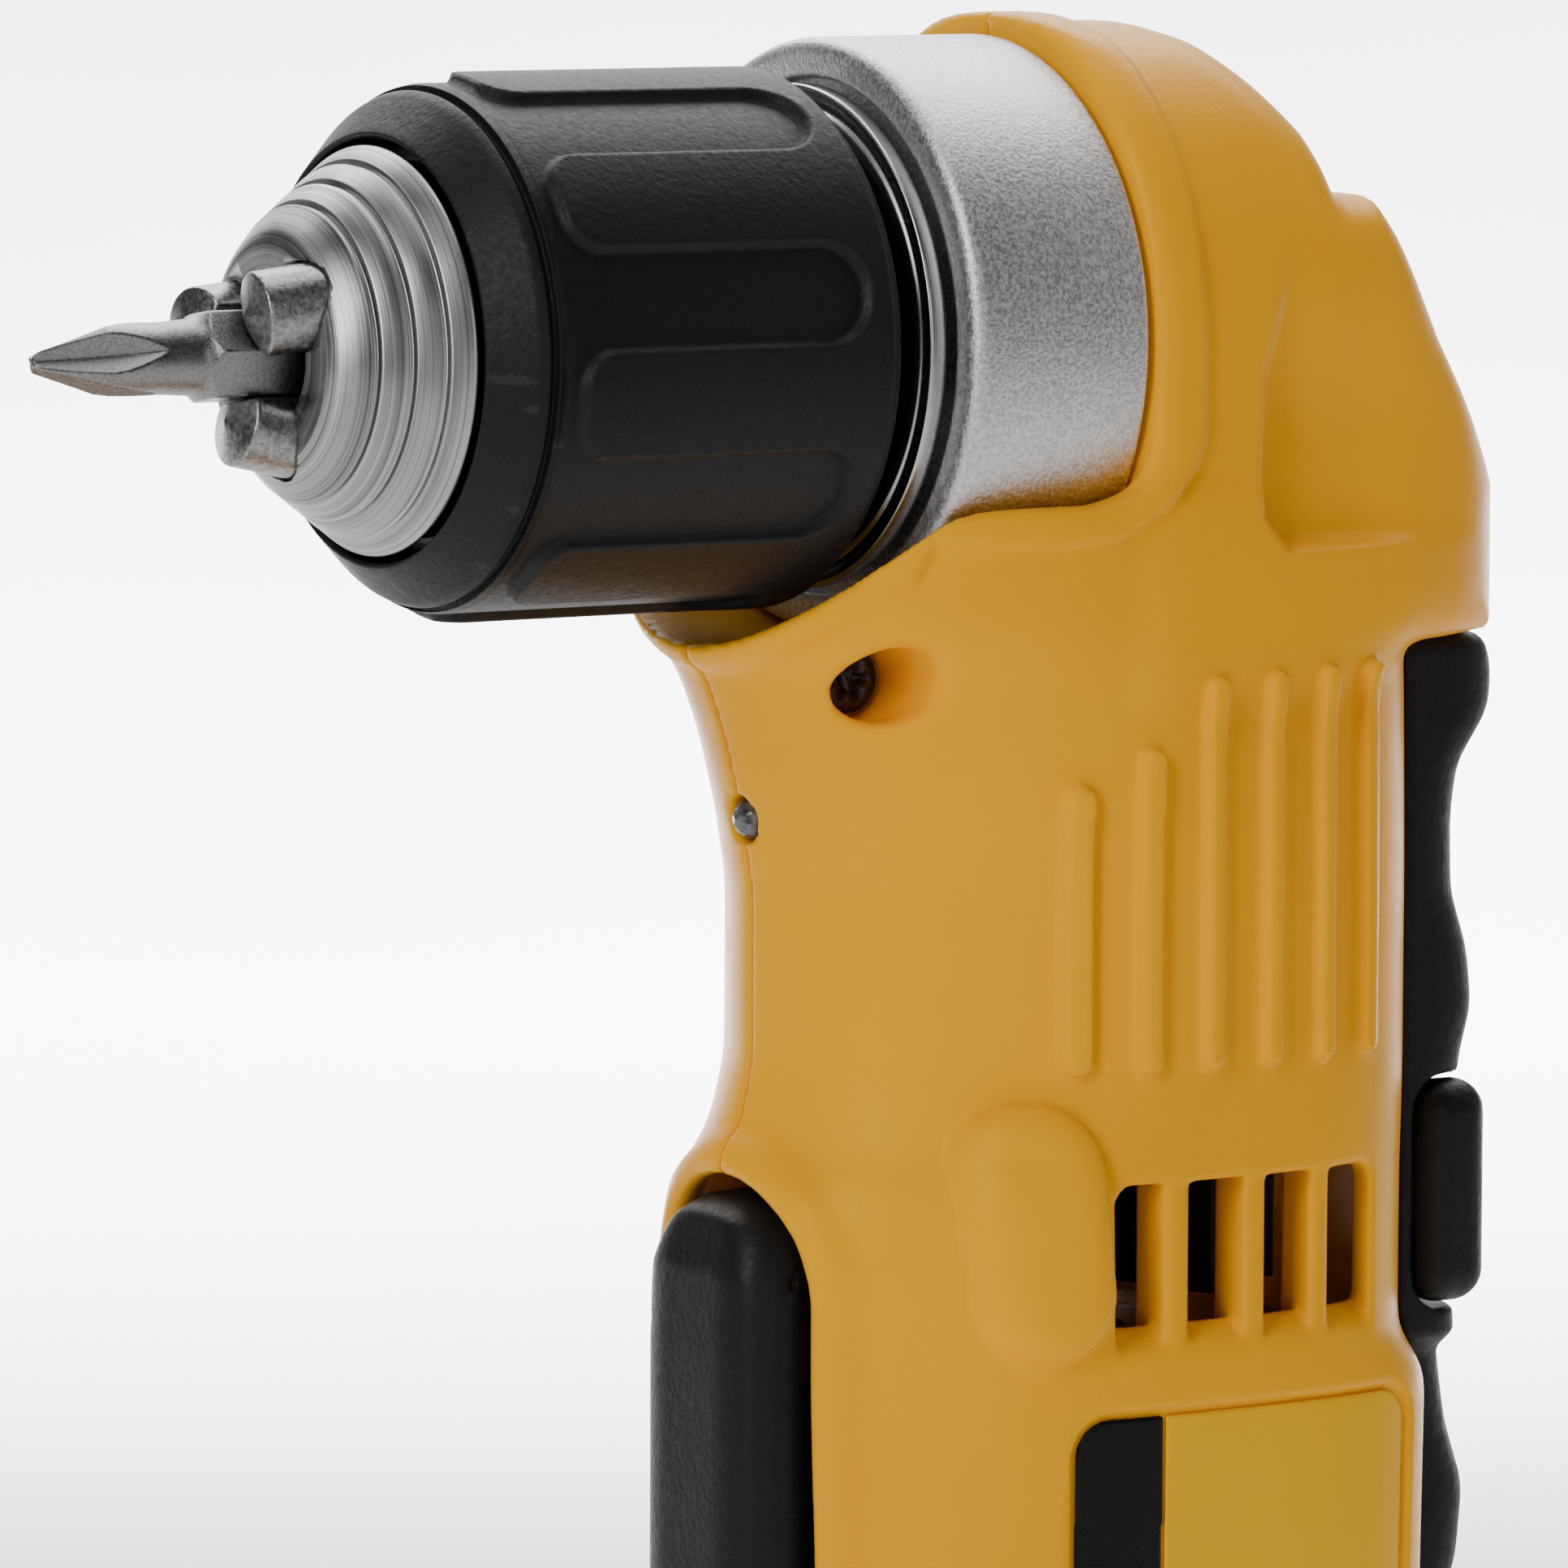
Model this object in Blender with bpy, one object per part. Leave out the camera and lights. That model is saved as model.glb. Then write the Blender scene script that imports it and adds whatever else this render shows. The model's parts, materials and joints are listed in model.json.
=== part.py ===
"""Right-angle cordless drill with a slide-on battery.

The tool stands on its battery.  The origin is on the battery's base, under the
vertical motor axis; +Z is up and the chuck points along -X.  Sizes in this file
are millimetres and turn into metres when a mesh is made.
"""
import math

import bmesh
import bpy
from mathutils import Matrix, Vector

MM = 0.001

# Driving dimensions, in millimetres
AXIS_HEIGHT = 275.0        # chuck axis above the battery's base
COLLAR_X = -17.0           # collar centre, in front of the vertical motor axis
GAP = 0.3                  # running gap between neighbouring pieces
WALL = 2.4                 # housing wall
SPLIT = 0.15               # half the gap between the two housing halves
COLLAR_R = 22.4
SLEEVE_R = 20.0
BIT_ACROSS_FLATS = 6.35    # quarter-inch hexagon shank
BIT_LENGTH = 25.4
BIT_TIP_X = -74.8
MOTOR_R = 18.0
BEVEL_RATIO = 2            # gear teeth over pinion teeth
BEVEL_PINION_TEETH = 8
BEVEL_PITCH_R = 14.0       # pitch radius of the large bevel gear
PLANET_MODULE = 0.6
SUN_TEETH, PLANET_TEETH, RING_TEETH = 12, 18, 48
JAW_ANGLE = math.radians(13)
CHUCK_TURN = math.radians(50)       # of the first jaw and the bit's flat, from straight up
JAW_R = 2.7
PADDLE_PIVOT = (-19.0, -139.0)   # x, z in the motor frame
PADDLE_HALF_WIDTH = 10.4
CELL_R, CELL_LENGTH, CELL_PITCH, CELLS = 9.1, 65.0, 19.0, 5
BATTERY_FRONT, BATTERY_REAR, BATTERY_HALF_WIDTH = -64.0, 50.0, 37.0
FOOT_BOTTOM = 39.0         # underside of the foot above the ground
ROUND = 24                 # sides of a round piece

COLOURS = {
    "yellow": ((0.82, 0.42, 0.012), 0.5, 0.0),
    "black": ((0.018, 0.018, 0.02), 0.6, 0.0),
    "grey_cast": ((0.36, 0.36, 0.36), 0.45, 0.7),
    "steel": ((0.55, 0.55, 0.56), 0.3, 1.0),
    "dark_steel": ((0.12, 0.12, 0.13), 0.4, 0.9),
    "brass": ((0.6, 0.42, 0.14), 0.3, 1.0),
    "lens": ((0.8, 0.82, 0.85), 0.1, 0.0),
    "lead_red": ((0.5, 0.02, 0.02), 0.5, 0.0),
    "cell_wrap": ((0.05, 0.22, 0.4), 0.4, 0.0),
}


# Making things

def clear_scene():
    for old in list(bpy.data.objects):
        bpy.data.objects.remove(old, do_unlink=True)


def material(name, colour):
    rgb, roughness, metallic = COLOURS[colour]
    mat = bpy.data.materials.new(name)
    mat.use_nodes = True
    shader = mat.node_tree.nodes["Principled BSDF"]
    shader.inputs["Base Color"].default_value = (*rgb, 1)
    shader.inputs["Roughness"].default_value = roughness
    shader.inputs["Metallic"].default_value = metallic
    return mat


def empty(name, x, y, z):
    """An axis or reference point that pieces are parented to."""
    marker = bpy.data.objects.new(name, None)
    marker.location = (x * MM, y * MM, z * MM)
    bpy.context.collection.objects.link(marker)
    return marker


def place(name, bm, parent):
    """An object with bm's mesh, in metres, faces out, at its parent's origin."""
    bmesh.ops.remove_doubles(bm, verts=bm.verts, dist=0.001)
    bmesh.ops.recalc_face_normals(bm, faces=bm.faces)
    bmesh.ops.scale(bm, verts=bm.verts, vec=(MM, MM, MM))
    mesh = bpy.data.meshes.new(name)
    bm.to_mesh(mesh)
    bm.free()
    obj = bpy.data.objects.new(name, mesh)
    obj.parent = parent
    bpy.context.collection.objects.link(obj)
    return obj


def piece(name, bm, parent, colour):
    obj = place(name, bm, parent)
    obj.data.materials.append(material(name, colour))
    obj.data.shade_smooth()
    obj.data.set_sharp_from_angle(angle=math.radians(32))
    return obj


def combine(obj, bm, operation="DIFFERENCE"):
    """Cut bm's solid out of obj, or join it on, with a Boolean modifier."""
    count = sum(m.type == "BOOLEAN" for m in obj.modifiers)
    tool = place(f"{obj.name}_{operation.lower()}_{count}", bm, obj.parent)
    tool.hide_render = True
    tool.display_type = "WIRE"
    modifier = obj.modifiers.new(f"{operation.lower()}_{count}", "BOOLEAN")
    modifier.operation = operation
    modifier.object = tool
    return tool


def soften(obj, width, angle=40):
    """Round the edges by width, in millimetres."""
    bevel = obj.modifiers.new("edges", "BEVEL")
    bevel.width = width * MM
    bevel.segments = 2
    bevel.limit_method = "ANGLE"
    bevel.angle_limit = math.radians(angle)


# Shapes, in millimetres

AXES = {
    "X": lambda along, a, b: Vector((along, a, b)),
    "Y": lambda along, a, b: Vector((a, along, b)),
    "Z": lambda along, a, b: Vector((a, b, along)),
}


def box(low, high):
    bm = bmesh.new()
    bmesh.ops.create_cube(bm, size=1.0)
    size = Vector(high) - Vector(low)
    bmesh.ops.scale(bm, verts=bm.verts, vec=size)
    bmesh.ops.translate(bm, verts=bm.verts, vec=(Vector(high) + Vector(low)) / 2)
    return bm


def rod(axis, start, end, radius, centre=(0, 0), sides=16):
    """A cylinder along an axis; centre is its place on the other two."""
    bm = bmesh.new()
    ring = [(centre[0] + radius * math.cos(t), centre[1] + radius * math.sin(t))
            for t in turns(sides)]
    add_prism(bm, ring, [], start, end, axis)
    return bm


def turns(count, phase=0.0):
    return [phase + 2 * math.pi * i / count for i in range(count)]


def add_prism(bm, outline, holes, start, end, axis):
    """A flat outline with holes, extruded along an axis."""
    edges = []
    for loop in [outline] + holes:
        verts = [bm.verts.new(AXES[axis](start, a, b)) for a, b in loop]
        edges += [bm.edges.new((verts[i - 1], verts[i])) for i in range(len(verts))]
    filled = bmesh.ops.triangle_fill(bm, edges=edges, use_beauty=True)
    faces = [g for g in filled["geom"] if isinstance(g, bmesh.types.BMFace)]
    grown = bmesh.ops.extrude_face_region(bm, geom=faces, use_keep_orig=True)
    moved = [g for g in grown["geom"] if isinstance(g, bmesh.types.BMVert)]
    bmesh.ops.translate(bm, verts=moved, vec=AXES[axis](end - start, 0, 0))


def prism(outline, start, end, axis, holes=()):
    bm = bmesh.new()
    add_prism(bm, outline, list(holes), start, end, axis)
    return bm


def circle(radius, sides, centre=(0, 0), phase=0.0):
    return [(centre[0] + radius * math.cos(t), centre[1] + radius * math.sin(t))
            for t in turns(sides, phase)]


def turned(profile, axis, sides=ROUND):
    """A profile of (along, radius) points turned about an axis through the origin.

    A profile whose ends have radius 0 makes a solid, any other a ring."""
    bm = bmesh.new()
    verts = [bm.verts.new(AXES[axis](along, radius, 0)) for along, radius in profile]
    edges = [bm.edges.new(pair) for pair in zip(verts, verts[1:])]
    if profile[0][1] > 0:
        edges.append(bm.edges.new((verts[-1], verts[0])))
    about = AXES[axis](1, 0, 0)
    bmesh.ops.spin(bm, geom=verts + edges, cent=(0, 0, 0), axis=about,
                   angle=2 * math.pi, steps=sides, use_merge=True)
    bmesh.ops.remove_doubles(bm, verts=bm.verts, dist=0.001)
    return bm


def loft(rings, closed=False):
    """A skin over rings with equal numbers of points; closed joins last to first."""
    bm = bmesh.new()
    rows = [[bm.verts.new(point) for point in ring] for ring in rings]
    pairs = list(zip(rows, rows[1:]))
    if closed:
        pairs.append((rows[-1], rows[0]))
    for low, high in pairs:
        for i in range(len(low)):
            bm.faces.new((low[i - 1], low[i], high[i]))
            bm.faces.new((low[i - 1], high[i], high[i - 1]))
    if not closed:
        bm.faces.new(rows[0])
        bm.faces.new(rows[-1])
    return bm


def oval(z, front, rear, half_width, powers, inset=0.0, count=22):
    """A level ring; powers are its squareness in front and behind, 2 being an ellipse."""
    centre, reach = (front + rear) / 2, (rear - front) / 2 - inset
    ring = []
    for t in turns(count, math.pi / count):
        c, s = math.cos(t), math.sin(t)
        power = powers[0] if c < 0 else powers[1]
        ring.append(Vector((
            centre + reach * math.copysign(abs(c) ** (2 / power), c),
            (half_width - inset) * math.copysign(abs(s) ** (2 / power), s),
            z)))
    return ring


def stack(sections, inset=0.0):
    """A solid through level sections, drawn in by inset all round and at its ends."""
    rings = []
    for i, (z, front, rear, half_width, powers) in enumerate(sections):
        end = inset * ((i == 0) - (i == len(sections) - 1))
        rings.append(oval(z - end, front, rear, half_width, powers, inset))
    return loft(rings)


def upright_stack(sections, squareness, inset=0.0, count=22):
    """A solid through upright sections along x, drawn in by inset on every side."""
    rings = []
    for i, (x, low, high, half_width) in enumerate(sections):
        shift = inset * (1 - 2 * i / (len(sections) - 1))
        middle, reach = (low + high) / 2, (high - low) / 2 - inset
        ring = []
        for t in turns(count, math.pi / count):
            c, s = math.cos(t), math.sin(t)
            ring.append(Vector((
                x + shift,
                (half_width - inset) * math.copysign(abs(s) ** (2 / squareness), s),
                middle + reach * math.copysign(abs(c) ** (2 / squareness), c))))
        rings.append(ring)
    return loft(rings)


# Outer form of the housing, in the motor frame: z is below or above the chuck axis.
# The head's upright sections: x, lowest z, highest z, half width.
HEAD_SECTIONS = [
    (-9.2, -23.4, 23.2, 22.2),
    (-6.5, -30.0, 24.0, 22.4),
    (2.5, -30.0, 24.0, 22.4),
    (6.0, -30.0, 22.0, 22.2),
    (11.8, -30.0, 15.8, 21.8),
    (13.0, -30.0, 10.8, 21.6),
    (17.0, -28.0, 10.0, 21.2),
    (23.4, -24.3, 0.0, 20.0),
    (27.2, -24.1, -8.5, 16.5),
    (28.6, -23.6, -11.5, 13.5),
]
HEAD_SQUARENESS = 2.4
# Level sections: z, front x, rear x, half width, squareness in front and behind
BODY_SECTIONS = [
    (-12.2, -37.0, 22.0, 21.6, (2.4, 2.4)),
    (-21.3, -37.5, 22.0, 21.8, (2.1, 3.0)),
    (-25.0, -35.2, 23.0, 22.0, (1.8, 3.0)),
    (-30.0, -32.8, 23.0, 22.0, (1.75, 3.0)),
    (-37.0, -30.6, 23.0, 22.0, (1.7, 3.0)),
    (-55.0, -29.9, 23.0, 22.0, (1.7, 3.0)),
    (-63.4, -33.0, 23.0, 22.0, (1.9, 3.0)),
    (-68.0, -33.5, 23.0, 22.0, (2.6, 3.0)),
    (-127.0, -31.4, 23.0, 21.4, (2.5, 2.5)),
    (-148.0, -21.5, 21.5, 18.0, (2.3, 2.3)),
    (-166.0, -18.0, 19.5, 16.5, (2.3, 2.3)),
    (-192.0, -18.0, 19.5, 16.5, (2.3, 2.3)),
    (-210.0, -26.0, 28.0, 22.0, (2.4, 2.4)),
]
FOOT_SECTIONS = [
    (-201.0, -36.0, 34.0, 26.0, (2.8, 2.8)),
    (-208.0, -49.0, 44.0, 33.0, (3.2, 3.2)),
    (-236.0, -53.0, 48.0, 34.5, (3.6, 3.6)),
]
FOOT_CAVITY = FOOT_SECTIONS[:2] + [(-218.2, -50.5, 45.4, 33.5, (3.3, 3.3))]
TROUGH_R = 21.9               # hollow of the nose under the chuck sleeve
# Housing screws, in the motor frame: x, z, and the y of the face under the head
SCREWS = {
    "nose_screw": (-26.3, -25.3, -6.5),
    "head_screw": (22.0, -18.0, 13.5),
    "handle_screw": (5.0, -172.0, -11.5),
    "foot_front_screw": (-36.0, -213.0, -21.5),
    "foot_rear_screw": (33.0, -209.6, -19.0),
}
SCREW_R, SCREW_HEAD_R, SCREW_END = 1.5, 2.6, 8.0
VENT_X = (-9.0, -3.0, 3.0, 9.0)   # vent openings on each side


def housing_half(name, side, motor):
    """One half shell; side is -1 for the left half and +1 for the right."""
    shell = piece(name, upright_stack(HEAD_SECTIONS, HEAD_SQUARENESS), motor, "yellow")
    combine(shell, stack(BODY_SECTIONS), "UNION")
    combine(shell, stack(FOOT_SECTIONS), "UNION")
    head_cavity = combine(shell, upright_stack(HEAD_SECTIONS, HEAD_SQUARENESS, WALL))
    body_cavity = combine(shell, stack(BODY_SECTIONS, WALL))
    foot_cavity = combine(shell, stack(FOOT_CAVITY, WALL))
    combine(body_cavity, rod("X", -60.0, -6.6, COLLAR_R + 2.2, sides=ROUND))
    for cavity, radius, screws in (
            (head_cavity, 4.1, ("head_screw",)),
            (body_cavity, 3.9, ("nose_screw", "head_screw", "handle_screw")),
            (foot_cavity, 3.9, ("foot_front_screw", "foot_rear_screw"))):
        for screw in screws:
            x, z, _ = SCREWS[screw]
            combine(cavity, rod("Y", -40.0, 40.0, radius, (x, z), 8))
    combine(body_cavity, rod("Y", -40.0, 40.0, 3.2, PADDLE_PIVOT, 8))
    far = sorted((-side * 60.0, side * SPLIT))
    combine(shell, box((-90, far[0], -260), (90, far[1], 60)))
    for bm in housing_cutouts(side):
        combine(shell, bm)
    return shell


def housing_cutouts(side):
    """Openings of one half shell, in the motor frame."""
    front, rear = COLLAR_X - 8.2, COLLAR_X + 8.1
    collar = turned([(-60, 0), (-60, TROUGH_R), (front, TROUGH_R),
                     (front, COLLAR_R + 0.4), (rear, COLLAR_R + 0.4),
                     (rear, 15.8), (rear + 2.9, 15.8), (rear + 2.9, 0)], "X")
    bearing_seat = rod("Z", -30, -15.2, 12.4)
    led = rod("X", -45, -20, 2.4, (0, -36.2), 8)
    wide = PADDLE_HALF_WIDTH + 0.5
    arch = [(-wide, -146), (wide, -146), (wide, -73.9), (10.0, -69.3), (7.2, -66.0),
            (3.6, -63.9), (-3.6, -63.9), (-7.2, -66.0), (-10.0, -69.3), (-wide, -73.9)]
    paddle = prism(arch, -50, -13, "X")
    selector = box((15, -4, -54.5), (40, 4, -42))
    pin = rod("Y", -14.9, 14.9, 1.8, PADDLE_PIVOT, 8)
    rail_neck = box((-70, -21.5, -240), (28.8, 21.5, -229.6))
    rail_head = box((-70, -25, -230), (28.8, 25, -223))
    comb = box((20, -18.4, -229.3), (44.1, 18.4, -224))
    block = box((29.9, -17.4, -226), (43.4, 17.4, -214))
    cuts = [collar, bearing_seat, led, paddle, selector, pin, rail_neck, rail_head, comb, block]
    for x, z, head_y in SCREWS.values():
        out = math.copysign(1.0, head_y)
        if side == out:
            profile = [(out * 50, 0), (out * 50, SCREW_HEAD_R + GAP), (head_y, SCREW_HEAD_R + GAP),
                       (head_y, SCREW_R + GAP), (-out, SCREW_R + GAP), (-out, 0)]
        else:
            profile = [(out, 0), (out, SCREW_R + GAP), (-out * (SCREW_END + GAP), SCREW_R + GAP),
                       (-out * (SCREW_END + GAP), 0)]
        hole = turned(profile, "Y", 8)
        bmesh.ops.translate(hole, verts=hole.verts, vec=(x, 0, z))
        cuts.append(hole)
    low_y, high_y = sorted((side * 14, side * 30))
    for x in VENT_X:
        cuts.append(box((x - 2.1, low_y, -73), (x + 2.1, high_y, -63.8)))
    return cuts


def housing_screw(name, x, z, head_y, motor):
    out = math.copysign(1.0, head_y)
    profile = [(head_y + 2.0 * out, 0), (head_y + 2.0 * out, SCREW_HEAD_R), (head_y, SCREW_HEAD_R),
               (head_y, SCREW_R), (-out * (SCREW_END - 0.5), SCREW_R), (-out * SCREW_END, 1.0),
               (-out * SCREW_END, 0)]
    bm = turned(profile, "Y", 8)
    bmesh.ops.translate(bm, verts=bm.verts, vec=(x, 0, z))
    piece(name, bm, motor, "dark_steel")


# Right-angle head and chuck, in the head frame: x runs along the chuck axis

def bearing(name, axis, start, end, bore, radius, parent):
    profile = [(start, bore), (start, radius), (end, radius), (end, bore)]
    piece(name, turned(profile, axis, 20), parent, "steel")


def gearcase(head):
    shell = turned([(-7.8, 8.0), (-7.8, 21.6), (-7.0, COLLAR_R), (7.2, COLLAR_R),
                    (7.8, 21.8), (7.8, 14.4), (-3.4, 14.4), (-3.4, 8.0)], "X")
    collar = piece("gearcase_collar", shell, head, "grey_cast")
    combine(collar, rod("Z", -30, -15.5, 12.4, (-COLLAR_X, 0)))
    washer = turned([(-9.6, 8.3), (-9.6, 19.0), (-8.1, 19.0), (-8.1, 8.3)], "X")
    piece("collar_ring", washer, head, "steel")
    bearing("spindle_front_bearing", "X", -3.1, 5.1, 6.0, 14.1, head)
    bearing("spindle_rear_bearing", "X", 25.0, 29.0, 4.0, 6.5, head)
    holder = prism([(-9.5, -9.5), (9.5, -9.5), (9.5, 6.0), (7.0, 8.5), (-7.0, 8.5), (-9.5, 6.0)],
                   24.7, 29.3, "X", [circle(6.8, 20)])
    piece("rear_bearing_holder", holder, head, "grey_cast")


def bevel_outline(pitch_r, cone_distance, teeth, reach, phase, axis):
    """Tooth outline on the back cone of a bevel wheel, scaled by reach to the apex.

    The apex is at the origin, and the wheel lies on the axis' negative side."""
    slant = math.hypot(pitch_r, cone_distance)
    along, outward = pitch_r / slant, cone_distance / slant
    module = 2 * pitch_r / teeth
    ring = []
    for i in range(teeth):
        for share, height in ((-0.27, -1.2), (-0.13, 0.8), (0.13, 0.8), (0.27, -1.2)):
            angle = phase + 2 * math.pi * (i + share) / teeth
            radius = (pitch_r + height * module * outward) * reach
            depth = (-cone_distance + height * module * along) * reach
            ring.append(AXES[axis](depth, radius * math.cos(angle), radius * math.sin(angle)))
    return ring


def wheel_ring(along, radius, teeth, phase, axis):
    """A round ring with as many points as a tooth outline."""
    return [AXES[axis](along, radius * math.cos(t), radius * math.sin(t))
            for t in turns(teeth * 4, phase - 0.27 * 2 * math.pi / teeth)]


def bevel_gear(spindle):
    """The large wheel; its tooth at -Z meets a gap of the pinion."""
    teeth, distance, phase = BEVEL_PINION_TEETH * BEVEL_RATIO, BEVEL_PITCH_R / BEVEL_RATIO, -math.pi / 2
    rings = [
        wheel_ring(-11.4, 6.0, teeth, phase, "X"),
        wheel_ring(-9.4, 12.3, teeth, phase, "X"),
        bevel_outline(BEVEL_PITCH_R, distance, teeth, 1.0, phase, "X"),
        bevel_outline(BEVEL_PITCH_R, distance, teeth, 0.68, phase, "X"),
        wheel_ring(-6.1, 6.0, teeth, phase, "X"),
    ]
    bm = loft(rings, closed=True)
    bmesh.ops.translate(bm, verts=bm.verts, vec=(-COLLAR_X, 0, 0))
    piece("bevel_gear", bm, spindle, "steel")


def bevel_pinion(drive):
    """The small wheel on its shaft; a gap faces -X."""
    teeth, distance, phase = BEVEL_PINION_TEETH, BEVEL_PITCH_R, math.pi + math.pi / BEVEL_PINION_TEETH
    pitch_r = BEVEL_PITCH_R / BEVEL_RATIO
    rings = [
        wheel_ring(-9.7, 2.4, teeth, phase, "Z"),
        bevel_outline(pitch_r, distance, teeth, 0.68, phase, "Z"),
        bevel_outline(pitch_r, distance, teeth, 1.0, phase, "Z"),
        wheel_ring(-15.7, 4.8, teeth, phase, "Z"),
        wheel_ring(-16.7, 4.8, teeth, phase, "Z"),
        wheel_ring(-16.7, 3.7, teeth, phase, "Z"),
        wheel_ring(-43.2, 3.7, teeth, phase, "Z"),
    ]
    piece("bevel_pinion", loft(rings), drive, "steel")


def spindle_shaft(spindle):
    profile = [(-18, 0), (-18, 2.3), (-33.5, 2.3), (-33.5, 5.0), (-7.6, 5.0), (-7.6, 5.7),
               (11.0, 5.7), (11.0, 3.7), (28.8, 3.7), (28.8, 0)]
    piece("spindle", turned(profile, "X", 20), spindle, "steel")
    screw = turned([(-37.2, 0), (-37.2, 4.2), (-33.9, 4.2), (-33.9, 2.0), (-20.0, 2.0),
                    (-20.0, 0)], "X", 12)
    piece("chuck_screw", screw, spindle, "dark_steel")


def jaw_spin(index):
    return Matrix.Rotation(CHUCK_TURN + math.radians(120 * index), 4, "X")


def jaw_frame(index):
    """A jaw's slide, from its front end back and out, in the head frame."""
    start = Vector((-61.0, 0, 4.3))
    tilt = Matrix.Rotation(-JAW_ANGLE, 4, "Y")
    return jaw_spin(index) @ Matrix.Translation(start) @ tilt


def chuck(spindle, sleeve_axis):
    profile = [(-55.0, 5.3), (-55.0, 9.2), (-46.5, 15.0), (-46.5, 13.8), (-42.2, 13.8),
               (-42.2, 15.6), (-40.4, 15.6), (-40.4, 14.5), (-33.6, 14.5), (-33.6, 15.6),
               (-12.4, 15.6), (-12.4, 5.3)]
    body = piece("chuck_body", turned(profile, "X"), spindle, "steel")
    for index in range(3):
        bore = rod("X", -5, 33, JAW_R + GAP, sides=12)
        bore.transform(jaw_frame(index))
        combine(body, bore)
    ring = turned([(-12.0, 5.4), (-12.0, 17.0), (-10.0, 17.0), (-10.0, 5.4)], "X")
    piece("chuck_rear_ring", ring, spindle, "dark_steel")
    lobes = 8
    rings = []
    shape = [(-46.2, 14.2, 0), (-46.2, 15.1, 0), (-42.4, 19.3, 0), (-41.6, SLEEVE_R, 0),
             (-40.6, SLEEVE_R, 1), (-15.5, SLEEVE_R + 0.2, 1), (-14.5, SLEEVE_R + 0.2, 0),
             (-12.2, 19.5, 0), (-12.2, 16.9, 0), (-42.6, 16.9, 0), (-42.6, 14.2, 0)]
    for x, radius, grooved in shape:
        ring = []
        for i in range(lobes):
            for share, depth in ((0.02, 0.0), (0.44, 0.0), (0.56, 0.9), (0.90, 0.9)):
                t = 2 * math.pi * (i + share) / lobes
                r = radius - depth * grooved
                ring.append(Vector((x, r * math.cos(t), r * math.sin(t))))
        rings.append(ring)
    piece("chuck_sleeve", loft(rings, closed=True), sleeve_axis, "black")
    nut = turned([(-40.0, 14.8), (-40.0, 16.6), (-34.0, 16.6), (-34.0, 14.8)], "X")
    piece("chuck_nut", nut, sleeve_axis, "dark_steel")


def jaws(head):
    for index in range(3):
        frame = jaw_frame(index)
        slide = empty(f"jaw_slide_{index + 1}", COLLAR_X, 0, AXIS_HEIGHT)
        bar = rod("X", -1, 25, JAW_R, sides=12)
        bar.transform(frame)
        jaw = piece(f"chuck_jaw_{index + 1}", bar, slide, "steel")
        grip = box((-80, -6, -2), (-20, 6, BIT_ACROSS_FLATS / 2 + GAP))
        grip.transform(jaw_spin(index))
        combine(jaw, grip)
        face = box((-70, -12, -12), (-61.0, 12, 12))
        face.transform(jaw_spin(index))
        combine(jaw, face)


def bit(slide):
    """Cross-tip insert bit: hexagon shank, neck and four-winged point."""
    corner = BIT_ACROSS_FLATS / math.sqrt(3)
    tail = BIT_TIP_X + BIT_LENGTH
    rings = []
    for x, size, wing in [(tail, 0.88, 1), (tail - 0.6, 1, 1), (-60.4, 1, 1), (-61.6, 0.77, 1),
                          (-64.4, 0.77, 1), (-68.4, 0.75, 0.78), (-73.8, 0.38, 0.55),
                          (BIT_TIP_X, 0.26, 0.7)]:
        ring = []
        for i, t in enumerate(turns(12)):
            flat = i % 2 * math.pi / 6
            hexagon = corner * math.cos(math.pi / 6) / math.cos(flat) if size > 0.8 else corner
            r = size * hexagon * (wing if i % 3 else 1)
            turn = t + CHUCK_TURN
            ring.append(Vector((x, -r * math.sin(turn), r * math.cos(turn))))
        rings.append(ring)
    piece("screwdriver_bit", loft(rings), slide, "dark_steel")


# Gear train, motor and shift, in the motor frame: the vertical axis is x = y = 0

def gear_outline(teeth, root, tip, phase=0.0):
    outline = []
    for i in range(teeth):
        for share, radius in ((-0.27, root), (-0.13, tip), (0.13, tip), (0.27, root)):
            t = phase + 2 * math.pi * (i + share) / teeth
            outline.append((radius * math.cos(t), radius * math.sin(t)))
    return outline


def pitch_r(teeth):
    return PLANET_MODULE * teeth / 2


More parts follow.
